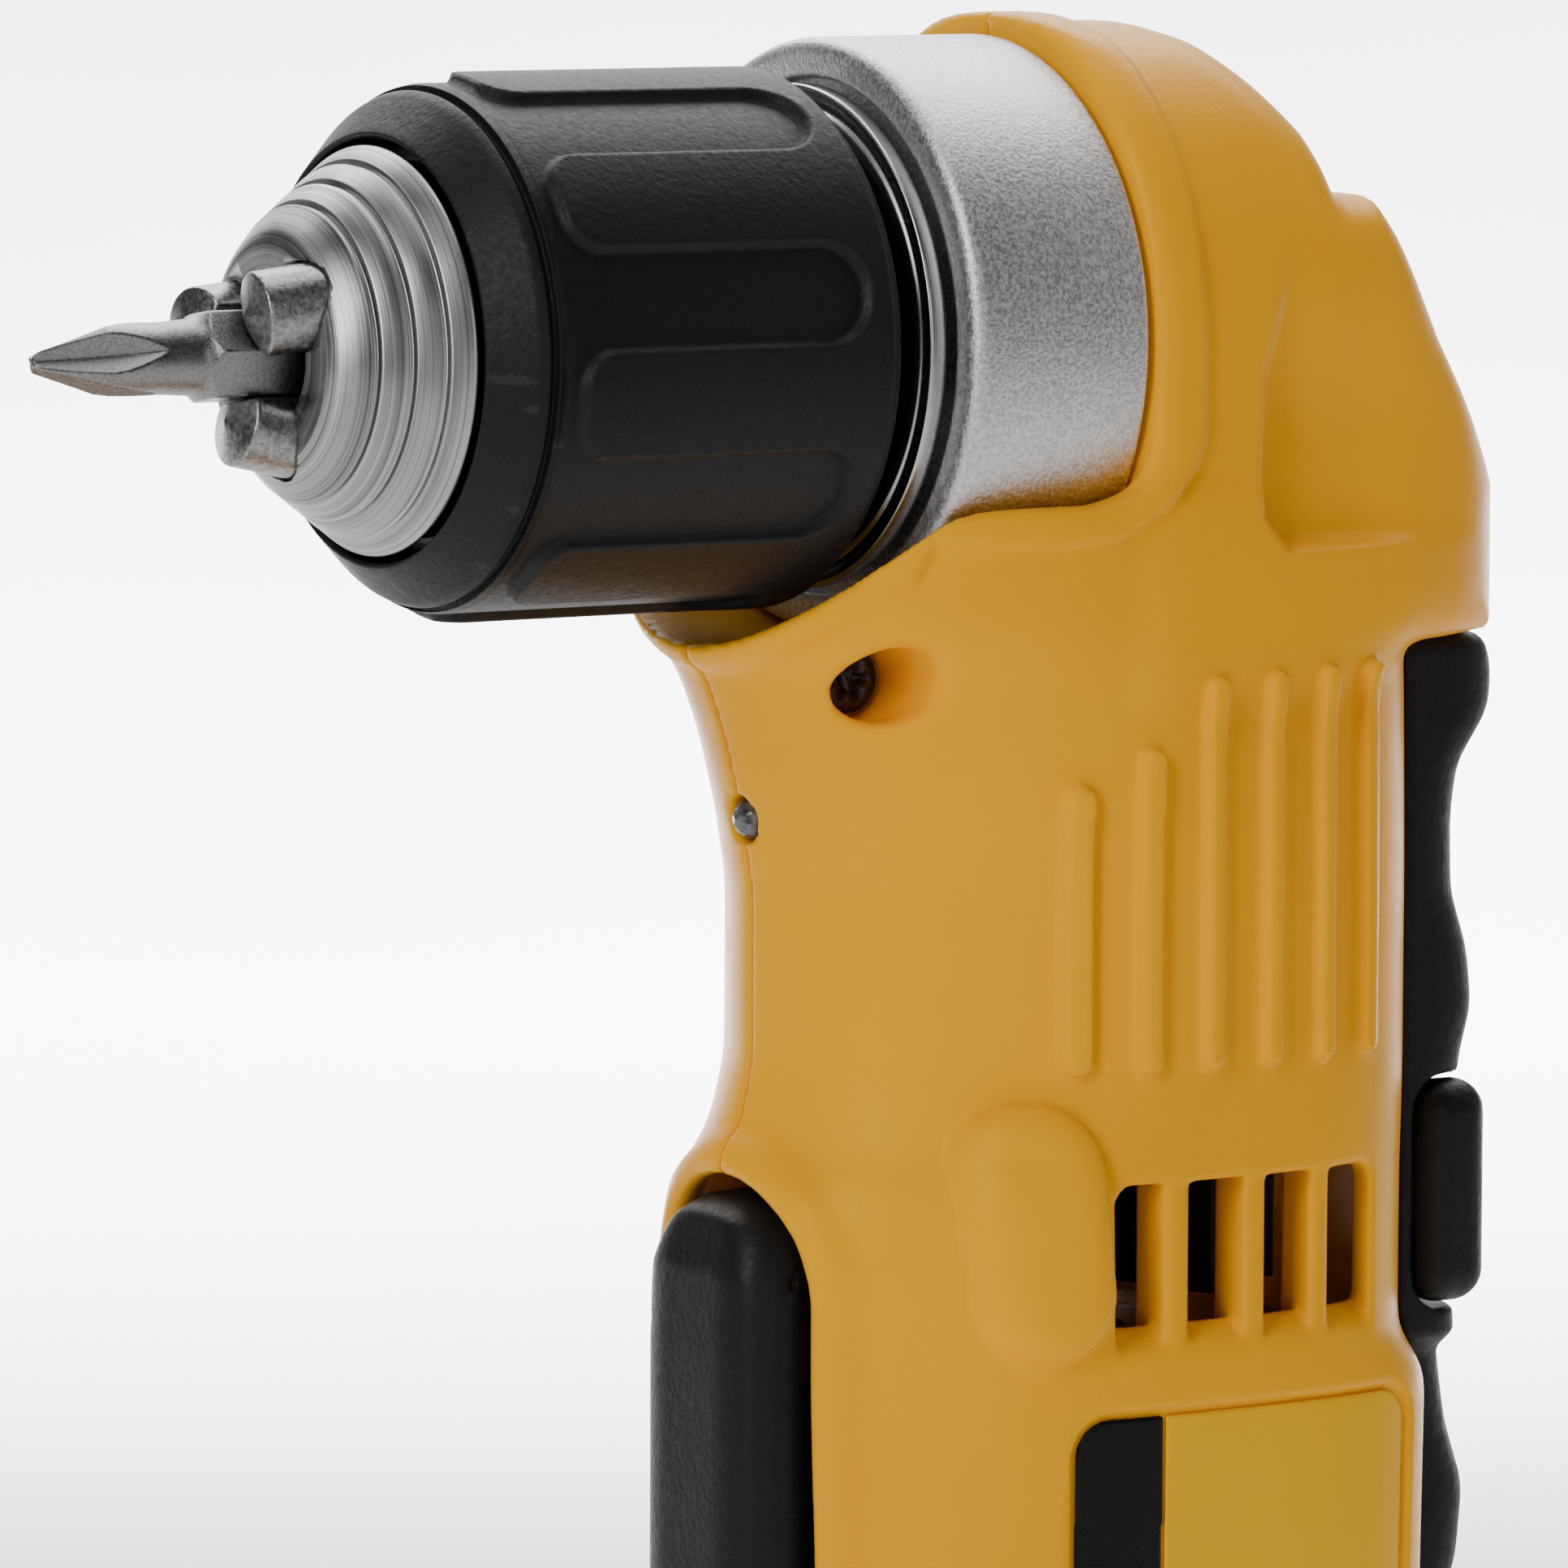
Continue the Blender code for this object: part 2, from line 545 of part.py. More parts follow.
def planetary(motor, drive, rotor, shift):
    top, low = -44.6, -54.0
    head, foot = 0.8 * PLANET_MODULE, 1.2 * PLANET_MODULE
    arm = pitch_r(SUN_TEETH) + pitch_r(PLANET_TEETH)
    carrier = piece("planet_carrier", prism(circle(13.2, ROUND), -40.5, -43.8, "Z",
                                            [circle(4.0, 12)]), drive, "steel")
    for index in range(3):
        t = math.radians(90 + 120 * index)
        centre = (arm * math.cos(t), arm * math.sin(t))
        combine(carrier, rod("Z", -43, low, 1.8, centre, 12), "UNION")
        axis = empty(f"planet_axis_{index + 1}", centre[0], centre[1], AXIS_HEIGHT)
        outline = gear_outline(PLANET_TEETH, pitch_r(PLANET_TEETH) - foot,
                               pitch_r(PLANET_TEETH) + head, t + math.pi / PLANET_TEETH)
        gear = prism(outline, top, low, "Z", [circle(2.1, 12)])
        piece(f"planet_gear_{index + 1}", gear, axis, "steel")
    sun = prism(gear_outline(SUN_TEETH, pitch_r(SUN_TEETH) - foot, pitch_r(SUN_TEETH) + head),
                top, low - 0.8, "Z", [circle(1.9, 12)])
    piece("sun_gear", sun, rotor, "steel")
    ring = prism(circle(16.6, 32), -46.0, -54.6, "Z",
                 [gear_outline(RING_TEETH, pitch_r(RING_TEETH) + foot,
                               pitch_r(RING_TEETH) - head)])
    piece("ring_gear", ring, shift, "steel")
    case = piece("gearbox_case", turned([
        (-16.6, 9.8), (-16.6, 11.8), (-25.0, 11.8), (-25.0, 18.0), (-59.0, 18.0),
        (-59.0, 17.0), (-27.0, 17.0), (-27.0, 6.5), (-23.3, 6.5), (-23.3, 9.8)], "Z"),
        motor, "grey_cast")
    combine(case, box((10, -4.3, -55.5), (25, 4.3, -41)))
    bearing("pinion_bearing", "Z", -23.0, -17.0, 4.0, 9.5, motor)


def shifter(shift):
    """Speed selector: thumb slide outside, fork arm to the ring gear inside."""
    outline = [(24.4, -57.6), (28.6, -57.6), (29.2, -55.0), (29.6, -52.5), (29.2, -50.0),
               (28.6, -46.6), (24.4, -46.6)]
    slide = piece("speed_selector", prism(outline, -5.2, 5.2, "Y"), shift, "black")
    combine(slide, box((20, -3.6, -52.5), (26.3, 3.6, -48.5)))
    fork = prism([(16.9, -3.2), (26.0, -3.2), (26.0, 3.2), (16.9, 3.2)], -52.0, -49.0, "Z")
    piece("shift_fork", fork, shift, "steel")


def motor_unit(motor, rotor):
    can = turned([(-77, 4.0), (-77, MOTOR_R), (-122, MOTOR_R), (-122, 16.4), (-79, 16.4),
                  (-79, 4.0)], "Z", 20)
    piece("motor_can", can, motor, "dark_steel")
    cap = turned([(-122.3, 16.0), (-122.3, MOTOR_R), (-129.5, MOTOR_R), (-131.5, 15.5),
                  (-131.5, 2.2), (-129.3, 2.2), (-129.3, 16.0)], "Z", 20)
    piece("motor_end_cap", cap, motor, "black")
    rotor_profile = [(-44.2, 0), (-44.2, 1.6), (-84, 1.6), (-84, 12.2), (-115, 12.2),
                     (-115, 3.5), (-118, 3.5), (-118, 5.6), (-128.4, 5.6), (-128.4, 1.6),
                     (-132.5, 1.6), (-132.5, 0)]
    piece("motor_armature", turned(rotor_profile, "Z", 16), rotor, "steel")
    blades = 9
    star = []
    for i in range(blades):
        for share, radius in ((-0.3, 5.0), (-0.06, 15.4), (0.06, 15.4), (0.3, 5.0)):
            t = 2 * math.pi * (i + share) / blades
            star.append((radius * math.cos(t), radius * math.sin(t)))
    piece("motor_fan", prism(star, -73.0, -64.0, "Z", [circle(1.9, 12)]), rotor, "black")
    for index, start in enumerate((-58, 122)):
        arc = [math.radians(start + 116 * i / 8) for i in range(9)]
        outline = [(16.1 * math.cos(t), 16.1 * math.sin(t)) for t in arc]
        outline += [(12.8 * math.cos(t), 12.8 * math.sin(t)) for t in reversed(arc)]
        piece(f"motor_magnet_{index + 1}", prism(outline, -83, -117, "Z"), motor, "dark_steel")


# Switch, paddle, selector buttons and light

def paddle(motor, pivot, plunger):
    px, pz = PADDLE_PIVOT
    outer = [(-29.0, -64.6), (-32.4, -65.0), (-33.7, -66.8), (-34.2, -70.0), (-34.2, -112.0),
             (-33.4, -126.0), (-30.6, -138.0), (-26.5, -143.8), (-23.0, -145.0), (-16.0, -145.0),
             (-14.4, -142.5), (-14.4, -135.0), (-17.0, -133.0), (-26.6, -130.0), (-26.6, -66.5)]
    shifted = [(x - px, z - pz) for x, z in outer]
    half = PADDLE_HALF_WIDTH
    lever = piece("paddle_lever", prism(shifted, -half, half, "Y"), pivot, "black")
    soften(lever, 3.0, 50)
    for side in (-1, 1):
        corner = [(side * half, -64 - pz), (side * half, -74.5 - pz), (side * 9.8, -70.4 - pz),
                  (side * 7.0, -67.0 - pz), (side * 3.4, -65.0 - pz), (side * 3.4, -64 - pz)]
        corner = [(y + side * 0.5 * (abs(y) > 10.5), z) for y, z in corner]
        combine(lever, prism(corner, -40 - px, -8 - px, "X"))
    hollow = half - 2.0
    combine(lever, box((-32.0 - px, -hollow, -141.0 - pz), (-20.0 - px, hollow, -76.0 - pz)))
    combine(lever, box((-32.0 - px, 4.0 - hollow, -77.0 - pz), (-20.0 - px, hollow - 4.0, -68.0 - pz)))
    combine(lever, box((-24.0 - px, -hollow, -150.0 - pz), (-8.0 - px, hollow, -128.0 - pz)))
    combine(lever, rod("Y", -20, 20, 1.8, sides=12))
    piece("paddle_pivot_pin", rod("Y", -14.5, 14.5, 1.5, (px, pz), 12), motor, "steel")
    stem = turned([(-31.7, 0), (-31.7, 2.0), (-30.9, 2.8), (-22.4, 2.8), (-22.4, 0)], "X", 12)
    bmesh.ops.translate(stem, verts=stem.verts, vec=(0, 0, -96.0))
    piece("switch_plunger", stem, plunger, "black")
    body = piece("switch_body", box((-27.0, -7.6, -119.5), (-18.5, 7.6, -85.0)), motor, "black")
    combine(body, rod("X", -30, -19.0, 3.1, (0, -96.0), 12))
    spring_coil(motor)


def spring_coil(motor):
    """Torsion spring round the paddle's pin, its two legs standing off the coil."""
    px, pz = PADDLE_PIVOT
    radius, wire, coils, steps, pitch = 3.0, 0.5, 4, 10, 1.35
    count = coils * steps
    path = []
    for i in range(count + 1):
        t = 2 * math.pi * i / steps
        y = (i / count - 0.5) * coils * pitch
        path.append(Vector((px + radius * math.cos(t), y, pz + radius * math.sin(t))))
    path.insert(0, path[0] + Vector((0.4, -0.2, -6.5)))
    path.append(path[-1] + Vector((-0.4, 0.2, 6.5)))
    curve = bpy.data.curves.new("paddle_return_spring", "CURVE")
    tube(curve, path, wire, 0)
    wrap("paddle_return_spring", curve, motor, "steel")


def tube(curve, path, radius, roundness):
    curve.dimensions = "3D"
    curve.bevel_depth = radius * MM
    curve.bevel_resolution = roundness
    curve.use_fill_caps = True
    spline = curve.splines.new("POLY")
    spline.points.add(len(path) - 1)
    for point, place_at in zip(spline.points, path):
        point.co = (*(place_at * MM), 1)


def wrap(name, curve, parent, colour):
    obj = bpy.data.objects.new(name, curve)
    obj.parent = parent
    curve.materials.append(material(name, colour))
    bpy.context.collection.objects.link(obj)


def smooth_path(points, per_leg):
    """Catmull-Rom points through the given ones."""
    ends = [points[0] * 2 - points[1]] + points + [points[-1] * 2 - points[-2]]
    path = []
    for i in range(1, len(ends) - 2):
        a, b, c, d = ends[i - 1:i + 3]
        for step in range(per_leg):
            t = step / per_leg
            path.append(0.5 * (2 * b + (c - a) * t + (2 * a - 5 * b + 4 * c - d) * t * t
                               + (3 * b - a - 3 * c + d) * t ** 3))
    path.append(points[-1])
    return path


def buttons(motor, direction):
    bar = [(25.8, -76.0), (28.9, -76.0), (29.7, -74.0), (29.7, -63.4), (28.9, -61.4),
           (25.8, -61.4)]
    button = piece("direction_button", prism(bar, -14.4, 14.4, "Y"), direction, "black")
    soften(button, 0.8)
    lens = turned([(-31.2, 0), (-30.8, 1.2), (-30.2, 2.0), (-25.0, 2.0), (-25.0, 0)], "X", 12)
    bmesh.ops.translate(lens, verts=lens.verts, vec=(0, 0, -36.2))
    piece("work_light", lens, motor, "lens")


def grown_sections(sections, grow):
    return [(z, front - grow, rear + grow, width + grow, powers)
            for z, front, rear, width, powers in sections]


def grips(motor):
    """Black back plate behind the gearbox and a soft pad round the lower handle."""
    plate_sections = [
        (-24.8, 0.0, 31.6),
        (-29.0, 0.0, 32.8),
        (-34.0, 0.0, 29.8),
        (-46.0, 0.0, 29.8),
        (-60.0, 0.0, 31.4),
        (-78.0, 0.0, 30.4),
        (-84.0, 0.0, 28.0),
        (-92.0, 0.0, 30.8),
        (-106.0, 0.0, 26.6),
    ]
    plate_sections = [(z, front, rear, 17.0, (2.4, 2.4)) for z, front, rear in plate_sections]
    plate = piece("rear_grip", stack(plate_sections), motor, "black")
    combine(plate, stack(grown_sections(BODY_SECTIONS, GAP)))
    combine(plate, box((-10, -30, -120), (15.0, 30, 0)))
    combine(plate, box((20, -5.6, -58.4), (40, 5.6, -40.6)))
    combine(plate, box((25.4, -30, -76.4), (40, 30, -61.0)))
    pad_sections = grown_sections(BODY_SECTIONS[8:12], 2.4)
    pad_sections[0] = (-112.0, -29.0, 25.0, 22.6, (2.4, 2.4))
    pad_sections[-1] = (-196.0, -20.5, 22.0, 19.0, (2.3, 2.3))
    pad = piece("handle_grip", stack(pad_sections), motor, "black")
    combine(pad, stack(grown_sections(BODY_SECTIONS, GAP)))
    front = [(-60, -100), (6, -100), (3, -130), (-4, -156), (-12, -172), (-15.5, -200), (-60, -200)]
    combine(pad, prism(front, -40, 40, "Y"))
    x, z, _ = SCREWS["handle_screw"]
    combine(pad, rod("Y", -40, 0, 4.0, (x, z), 12))


# Foot, battery and wiring

def power_feed(motor):
    """Terminal block with four blades, and the two leads up to the switch."""
    comb = [(43.8, -18.0), (43.8, 18.0), (30.3, 18.0)]
    for y in (13.5, 4.5, -4.5, -13.5):
        comb += [(30.3, y + 0.4), (14.0, y + 0.4), (14.0, y - 0.4), (30.3, y - 0.4)]
    comb.append((30.3, -18.0))
    block = piece("terminal_block", prism(comb, -229.0, -224.6, "Z"), motor, "black")
    combine(block, box((31.0, -17.0, -225.0), (43.0, 17.0, -218.8)), "UNION")
    for index, side in enumerate((-1, 1)):
        y = side * 6.5
        stops = [(33, y, -217.6), (27.5, y, -211.5), (14, y, -205), (-1, y, -196), (-7, y, -183),
                 (-8, y, -163), (-8, y, -148), (-13, y, -139.5), (-18, y, -132.8),
                 (-22, y, -126.5), (-23, y, -119.9)]
        path = smooth_path([Vector(stop) for stop in stops], 2)
        curve = bpy.data.curves.new(f"power_lead_{index + 1}", "CURVE")
        tube(curve, path, 1.0, 1)
        wrap(f"power_lead_{index + 1}", curve, motor, "lead_red" if side < 0 else "black")


def battery_ring(z, inset, corner=9.0, steps=3):
    """A level rounded rectangle of the battery's plan, drawn in by inset."""
    ring = []
    low_x, high_x = BATTERY_FRONT + inset, BATTERY_REAR - inset
    half = BATTERY_HALF_WIDTH - inset
    radius = corner - inset / 2
    corners = [(high_x - radius, half - radius, 0), (low_x + radius, half - radius, 1),
               (low_x + radius, radius - half, 2), (high_x - radius, radius - half, 3)]
    for x, y, quarter in corners:
        for step in range(steps + 1):
            t = math.pi / 2 * (quarter + step / steps)
            ring.append(Vector((x + radius * math.cos(t), y + radius * math.sin(t), z)))
    return ring


def battery(slide, release):
    """Two-part pack with five cells across it; z is above the pack's base."""
    split = 19.5
    base = piece("battery_base", loft([battery_ring(0, 2.0), battery_ring(2.0, 0.0),
                                       battery_ring(split - 0.15, 0.0)]), slide, "black")
    combine(base, loft([battery_ring(2.6, 2.6), battery_ring(split + 5, 2.6)]))
    cover = piece("battery_cover", loft([battery_ring(split + 0.15, 0.0),
                                         battery_ring(33.0, 0.0), battery_ring(38.0, 3.4),
                                         battery_ring(FOOT_BOTTOM - GAP, 5.0)]), slide, "black")
    combine(cover, loft([battery_ring(split - 5, 2.6), battery_ring(32.0, 2.6),
                         battery_ring(35.0, 5.6)]))
    combine(cover, box((-48, -21.2, FOOT_BOTTOM - 2), (28, 21.2, 45.6)), "UNION")
    combine(cover, box((-48, -24.7, 45.7), (28, 24.7, 51.6)), "UNION")
    combine(cover, box((-48, -21.0, 45.0), (28, 21.0, 46.5)), "UNION")
    for y in (13.5, 4.5, -4.5, -13.5):
        combine(cover, box((12, y - 0.8, 44.8), (35, y + 0.8, 60)))
    combine(cover, box((-61.4, -12.4, 28), (-54.2, 12.4, 60)))
    for index in range(CELLS):
        x = -3.0 + (index - (CELLS - 1) / 2) * CELL_PITCH
        half = CELL_LENGTH / 2
        profile = [(-half, 0), (-half, CELL_R), (half, CELL_R), (half, 4.2),
                   (half + 0.8, 4.2), (half + 0.8, 0)]
        bm = turned(profile, "Y", 14)
        bmesh.ops.translate(bm, verts=bm.verts, vec=(x, 0, 12.4))
        piece(f"battery_cell_{index + 1}", bm, slide, "cell_wrap")
    outline = [(-61.0, 29.0), (-54.6, 29.0), (-54.6, 41.0), (-56.0, 42.4), (-60.0, 41.0),
               (-61.0, 38.6)]
    button = piece("battery_release_button", prism(outline, -12.0, 12.0, "Y"), release, "yellow")
    combine(button, box((-57.5, -20, 40.6), (-54.0, 20, 41.2)))


def build():
    clear_scene()
    head = empty("head_axis", COLLAR_X, 0, AXIS_HEIGHT)
    motor = empty("motor_axis", 0, 0, AXIS_HEIGHT)
    spindle = empty("spindle_axis", COLLAR_X, 0, AXIS_HEIGHT)
    sleeve = empty("sleeve_axis", COLLAR_X, 0, AXIS_HEIGHT)
    bit_slide = empty("bit_slide", COLLAR_X, 0, AXIS_HEIGHT)
    drive = empty("pinion_axis", 0, 0, AXIS_HEIGHT)
    rotor = empty("rotor_axis", 0, 0, AXIS_HEIGHT)
    shift = empty("shift_slide", 0, 0, AXIS_HEIGHT)
    direction = empty("direction_slide", 0, 0, AXIS_HEIGHT)
    pivot = empty("paddle_pivot", PADDLE_PIVOT[0], 0, AXIS_HEIGHT + PADDLE_PIVOT[1])
    plunger = empty("plunger_slide", 0, 0, AXIS_HEIGHT)
    pack = empty("battery_slide", 0, 0, 0)
    release = empty("release_slide", 0, 0, 0)

    housing_half("left_housing", -1, motor)
    housing_half("right_housing", 1, motor)
    for name, (x, z, head_y) in SCREWS.items():
        housing_screw(name, x, z, head_y, motor)
    gearcase(head)
    spindle_shaft(spindle)
    bevel_gear(spindle)
    bevel_pinion(drive)
    chuck(spindle, sleeve)
    jaws(head)
    bit(bit_slide)
    planetary(motor, drive, rotor, shift)
    shifter(shift)
    motor_unit(motor, rotor)
    paddle(motor, pivot, plunger)
    buttons(motor, direction)
    grips(motor)
    power_feed(motor)
    battery(pack, release)


build()
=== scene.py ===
"""Looks of a cordless right-angle drill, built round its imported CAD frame.

Lengths are in millimetres until a mesh is made. Two frames are used:
the motor frame, with x and y from the vertical motor axis and z from the chuck axis, and
the head frame, with x along the chuck axis from the middle of the gearcase collar.
"""
import json
import math

import bmesh
import bpy
import numpy as np
import openvdb
from mathutils import Matrix, Vector


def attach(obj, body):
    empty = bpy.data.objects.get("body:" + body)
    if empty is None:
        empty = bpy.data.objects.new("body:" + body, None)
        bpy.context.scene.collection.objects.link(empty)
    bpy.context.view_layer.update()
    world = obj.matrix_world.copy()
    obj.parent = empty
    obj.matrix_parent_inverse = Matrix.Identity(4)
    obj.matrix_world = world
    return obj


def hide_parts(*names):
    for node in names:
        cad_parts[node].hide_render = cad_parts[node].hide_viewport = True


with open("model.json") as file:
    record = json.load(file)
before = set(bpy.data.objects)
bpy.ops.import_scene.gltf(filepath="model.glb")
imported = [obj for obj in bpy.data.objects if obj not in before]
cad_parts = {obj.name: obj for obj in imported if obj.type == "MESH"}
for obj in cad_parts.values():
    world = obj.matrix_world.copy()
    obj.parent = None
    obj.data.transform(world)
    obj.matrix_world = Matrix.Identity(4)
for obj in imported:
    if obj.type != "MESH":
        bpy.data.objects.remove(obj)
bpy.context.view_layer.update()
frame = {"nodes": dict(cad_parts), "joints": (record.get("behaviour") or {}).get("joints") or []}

MM = 0.001


def joint_place(name):
    """Where a joint is, in millimetres of the row."""
    joint = next(j for j in frame["joints"] if j["name"] == name)
    return [v / MM for v in joint["pos_m"]]


COLLAR_X, _, AXIS_Z = joint_place("spindle_spin")
PIVOT_X, _, PIVOT_HEIGHT = joint_place("paddle_press")
PIVOT_Z = PIVOT_HEIGHT - AXIS_Z
WALL = 2.4                    # of the housing
VOXEL = 0.4                   # of the housing's mesh


# Distance fields: negative inside a solid, in millimetres

def smin(a, b, k):
    """The nearer of two solids, blended where they meet over about k."""
    h = np.maximum(k - np.abs(a - b), 0) / k
    return np.minimum(a, b) - h * h * k * 0.25


def smax(a, b, k):
    """Where two solids overlap, its edge eased over about k."""
    return -smin(-a, -b, k)


def carve(form, tool, k=0.0):
    """A solid less a tool, the new edge eased over about k."""
    return smax(form, -tool, k) if k else np.maximum(form, -tool)


def step(low, high, x):
    """0 below low to 1 above high, eased at both ends."""
    t = np.clip((x - low) / (high - low), 0, 1)
    return t * t * (3 - 2 * t)


def polygon(x, z, points):
    """Distance to a closed outline in a plane."""
    near = np.full(np.broadcast(x, z).shape, 1e9, np.float32)
    inside = np.ones(near.shape, bool)
    for (ax, az), (bx, bz) in zip(points, points[1:] + points[:1]):
        ex, ez = bx - ax, bz - az
        wx, wz = x - ax, z - az
        t = np.clip((wx * ex + wz * ez) / (ex * ex + ez * ez), 0, 1)
        near = np.minimum(near, (wx - ex * t) ** 2 + (wz - ez * t) ** 2)
        crossing = (z >= az) != (z >= bz)
        left = (ex * wz - ez * wx > 0) == (ez > 0)
        inside ^= crossing & left
    return np.where(inside, 1, -1) * np.sqrt(near)


def slab(x, z, low, high, corner):
    """Distance to a rectangle with rounded corners."""
    cx, cz = (low[0] + high[0]) / 2, (low[1] + high[1]) / 2
    qx = np.abs(x - cx) - (high[0] - low[0]) / 2 + corner
    qz = np.abs(z - cz) - (high[1] - low[1]) / 2 + corner
    return (np.hypot(np.maximum(qx, 0), np.maximum(qz, 0))
            + np.minimum(np.maximum(qx, qz), 0) - corner)


def block(x, y, z, low, high, corner=0.0):
    """Distance to a box with rounded edges."""
    q = [np.abs(v - (a + b) / 2) - (b - a) / 2 + corner
         for v, a, b in zip((x, y, z), low, high)]
    outside = np.sqrt(sum(np.maximum(v, 0) ** 2 for v in q))
    return outside + np.minimum(np.maximum(np.maximum(q[0], q[1]), q[2]), 0) - corner


def bar(x, z, ax, az, bx, bz, radius):
    """Distance to a straight bar with round ends, in a plane."""
    ex, ez = bx - ax, bz - az
    t = np.clip(((x - ax) * ex + (z - az) * ez) / (ex * ex + ez * ez), 0, 1)
    return np.hypot(x - ax - ex * t, z - az - ez * t) - radius


def run(z, stations, column, blur=1.2):
    """One column of a table of stations, eased between them; z is an even row."""
    order = sorted(stations)
    flat = z.ravel()
    pitch = flat[1] - flat[0]
    count = int(math.ceil(3 * blur / pitch))
    weights = np.exp(-0.5 * (np.arange(-count, count + 1) * pitch / blur) ** 2)
    wide = flat[0] + pitch * np.arange(-count, len(flat) + count)
    values = np.interp(wide, [s[0] for s in order], [s[column] for s in order])
    eased = np.convolve(values, weights / weights.sum(), "valid")
    return eased.astype(np.float32).reshape(z.shape)


def plan(x, y, z, stations):
    """A solid through level sections: z, front, rear, half width, squareness of each end."""
    front, rear, width, blunt, square = (run(z, stations, c) for c in range(1, 6))
    reach = (rear - front) / 2
    u = (x - (front + rear) / 2) / reach
    v = np.abs(y) / width
    power = np.where(u < 0, blunt, square)
    u = np.maximum(np.abs(u), 1e-3)
    v = np.maximum(v, 1e-3)
    up, vp = u ** power, v ** power
    size = (up + vp) ** (1 / power)
    slope = size ** (1 - power) * np.hypot(up / u / reach, vp / v / width)
    return (size - 1) / slope


def grid(low, high, pitch):
    """Rows of x, y and z that fill a box, shaped to be combined."""
    rows = [np.arange(a, b + pitch, pitch, dtype=np.float32) for a, b in zip(low, high)]
    return rows[0][:, None, None], rows[1][None, :, None], rows[2][None, None, :]


# Objects

def to_row(points, centre=(0, 0, 0)):
    """Motor frame millimetres to row metres."""
    return (np.asarray(points, float) + np.asarray(centre, float) + (0, 0, AXIS_Z)) * MM


def finish_piece(obj, body, material, replaced=()):
    """Give a piece its material and slot, ride it on its body, and stand it for CAD nodes."""
    obj.data.materials.append(material)
    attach(obj, body)
    if replaced:
        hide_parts(*replaced)


def add_object(name, data):
    obj = bpy.data.objects.new(name, data)
    bpy.context.scene.collection.objects.link(obj)
    return obj


def mesh_object(name, points, faces):
    """A smooth-shaded object from points in row metres."""
    mesh = bpy.data.meshes.new(name)
    mesh.from_pydata([tuple(p) for p in points], [], [tuple(f) for f in faces])
    mesh.polygons.foreach_set("use_smooth", [True] * len(mesh.polygons))
    mesh.update()
    return add_object(name, mesh)


def face_outwards(obj):
    """Weld points that coincide and turn every face outwards."""
    bm = bmesh.new()
    bm.from_mesh(obj.data)
    bmesh.ops.remove_doubles(bm, verts=bm.verts, dist=1e-6)
    bmesh.ops.recalc_face_normals(bm, faces=bm.faces)
    bm.to_mesh(obj.data)
    bm.free()


def skin(name, rows, field, mirror=False, centre=(0, 0, 0)):
    """The surface where a field is zero; mirror turns it over to the other side."""
    far = 3.0
    field = np.minimum(np.broadcast_to(field, np.broadcast(*rows).shape), far)
    volume = openvdb.FloatGrid(far)
    volume.copyFromArray(np.ascontiguousarray(field, dtype=np.float32), tolerance=0.0)
    points, triangles, quads = volume.convertToPolygons(isovalue=0.0, adaptivity=0.0)
    start = np.array([r.flat[0] for r in rows])
    points = points * (rows[0].flat[1] - rows[0].flat[0]) + start
    if mirror:
        points[:, 1] *= -1
    else:
        triangles, quads = triangles[:, ::-1], quads[:, ::-1]
    points = to_row(points, centre)
    loops = np.concatenate([triangles.ravel(), quads.ravel()])
    sizes = np.concatenate([np.full(len(triangles), 3), np.full(len(quads), 4)])
    mesh = bpy.data.meshes.new(name)
    mesh.vertices.add(len(points))
    mesh.vertices.foreach_set("co", points.astype(np.float32).ravel())
    mesh.loops.add(len(loops))
    mesh.loops.foreach_set("vertex_index", loops.astype(np.int32))
    mesh.polygons.add(len(sizes))
    mesh.polygons.foreach_set("loop_start", (np.cumsum(sizes) - sizes).astype(np.int32))
    mesh.polygons.foreach_set("use_smooth", [True] * len(sizes))
    mesh.update(calc_edges=True)
    mesh.validate()
    return add_object(name, mesh)


def turned(name, profile, sides=128, centre=(COLLAR_X, 0, 0), axis="X", ripple=None):
    """A closed profile of (along, radius) points turned about an axis.

    ripple(along, angle, radius) is added to the radius.
    """
    along = np.array([p[0] for p in profile], float)[:, None]
    radius = np.array([p[1] for p in profile], float)[:, None]
    angle = np.linspace(0, 2 * math.pi, sides, endpoint=False)[None, :]
    if ripple:
        radius = radius + ripple(along, angle, radius)
    across, up = radius * np.sin(angle), radius * np.cos(angle)
    along = along + 0 * angle
    order = {"X": (along, across, up), "Y": (across, along, up), "Z": (across, up, along)}
    points = to_row(np.stack([v.ravel() for v in order[axis]], axis=1), centre)
    count = len(profile)
    faces = []
    for i in range(count):
        j = (i + 1) % count
        for k in range(sides):
            m = (k + 1) % sides
            faces.append((i * sides + k, i * sides + m, j * sides + m, j * sides + k))
    obj = mesh_object(name, points, faces)
    face_outwards(obj)
    return obj


def prism(name, outline, low, high):
    """An (x, z) outline carried across from low to high y."""
    points = [(u, y, v) for y in (low, high) for u, v in outline]
    n = len(outline)
    faces = [[*range(n)], [*range(2 * n - 1, n - 1, -1)]]
    faces += [(i, n + i, n + (i + 1) % n, (i + 1) % n) for i in range(n)]
    obj = mesh_object(name, to_row(points), faces)
    face_outwards(obj)
    return obj


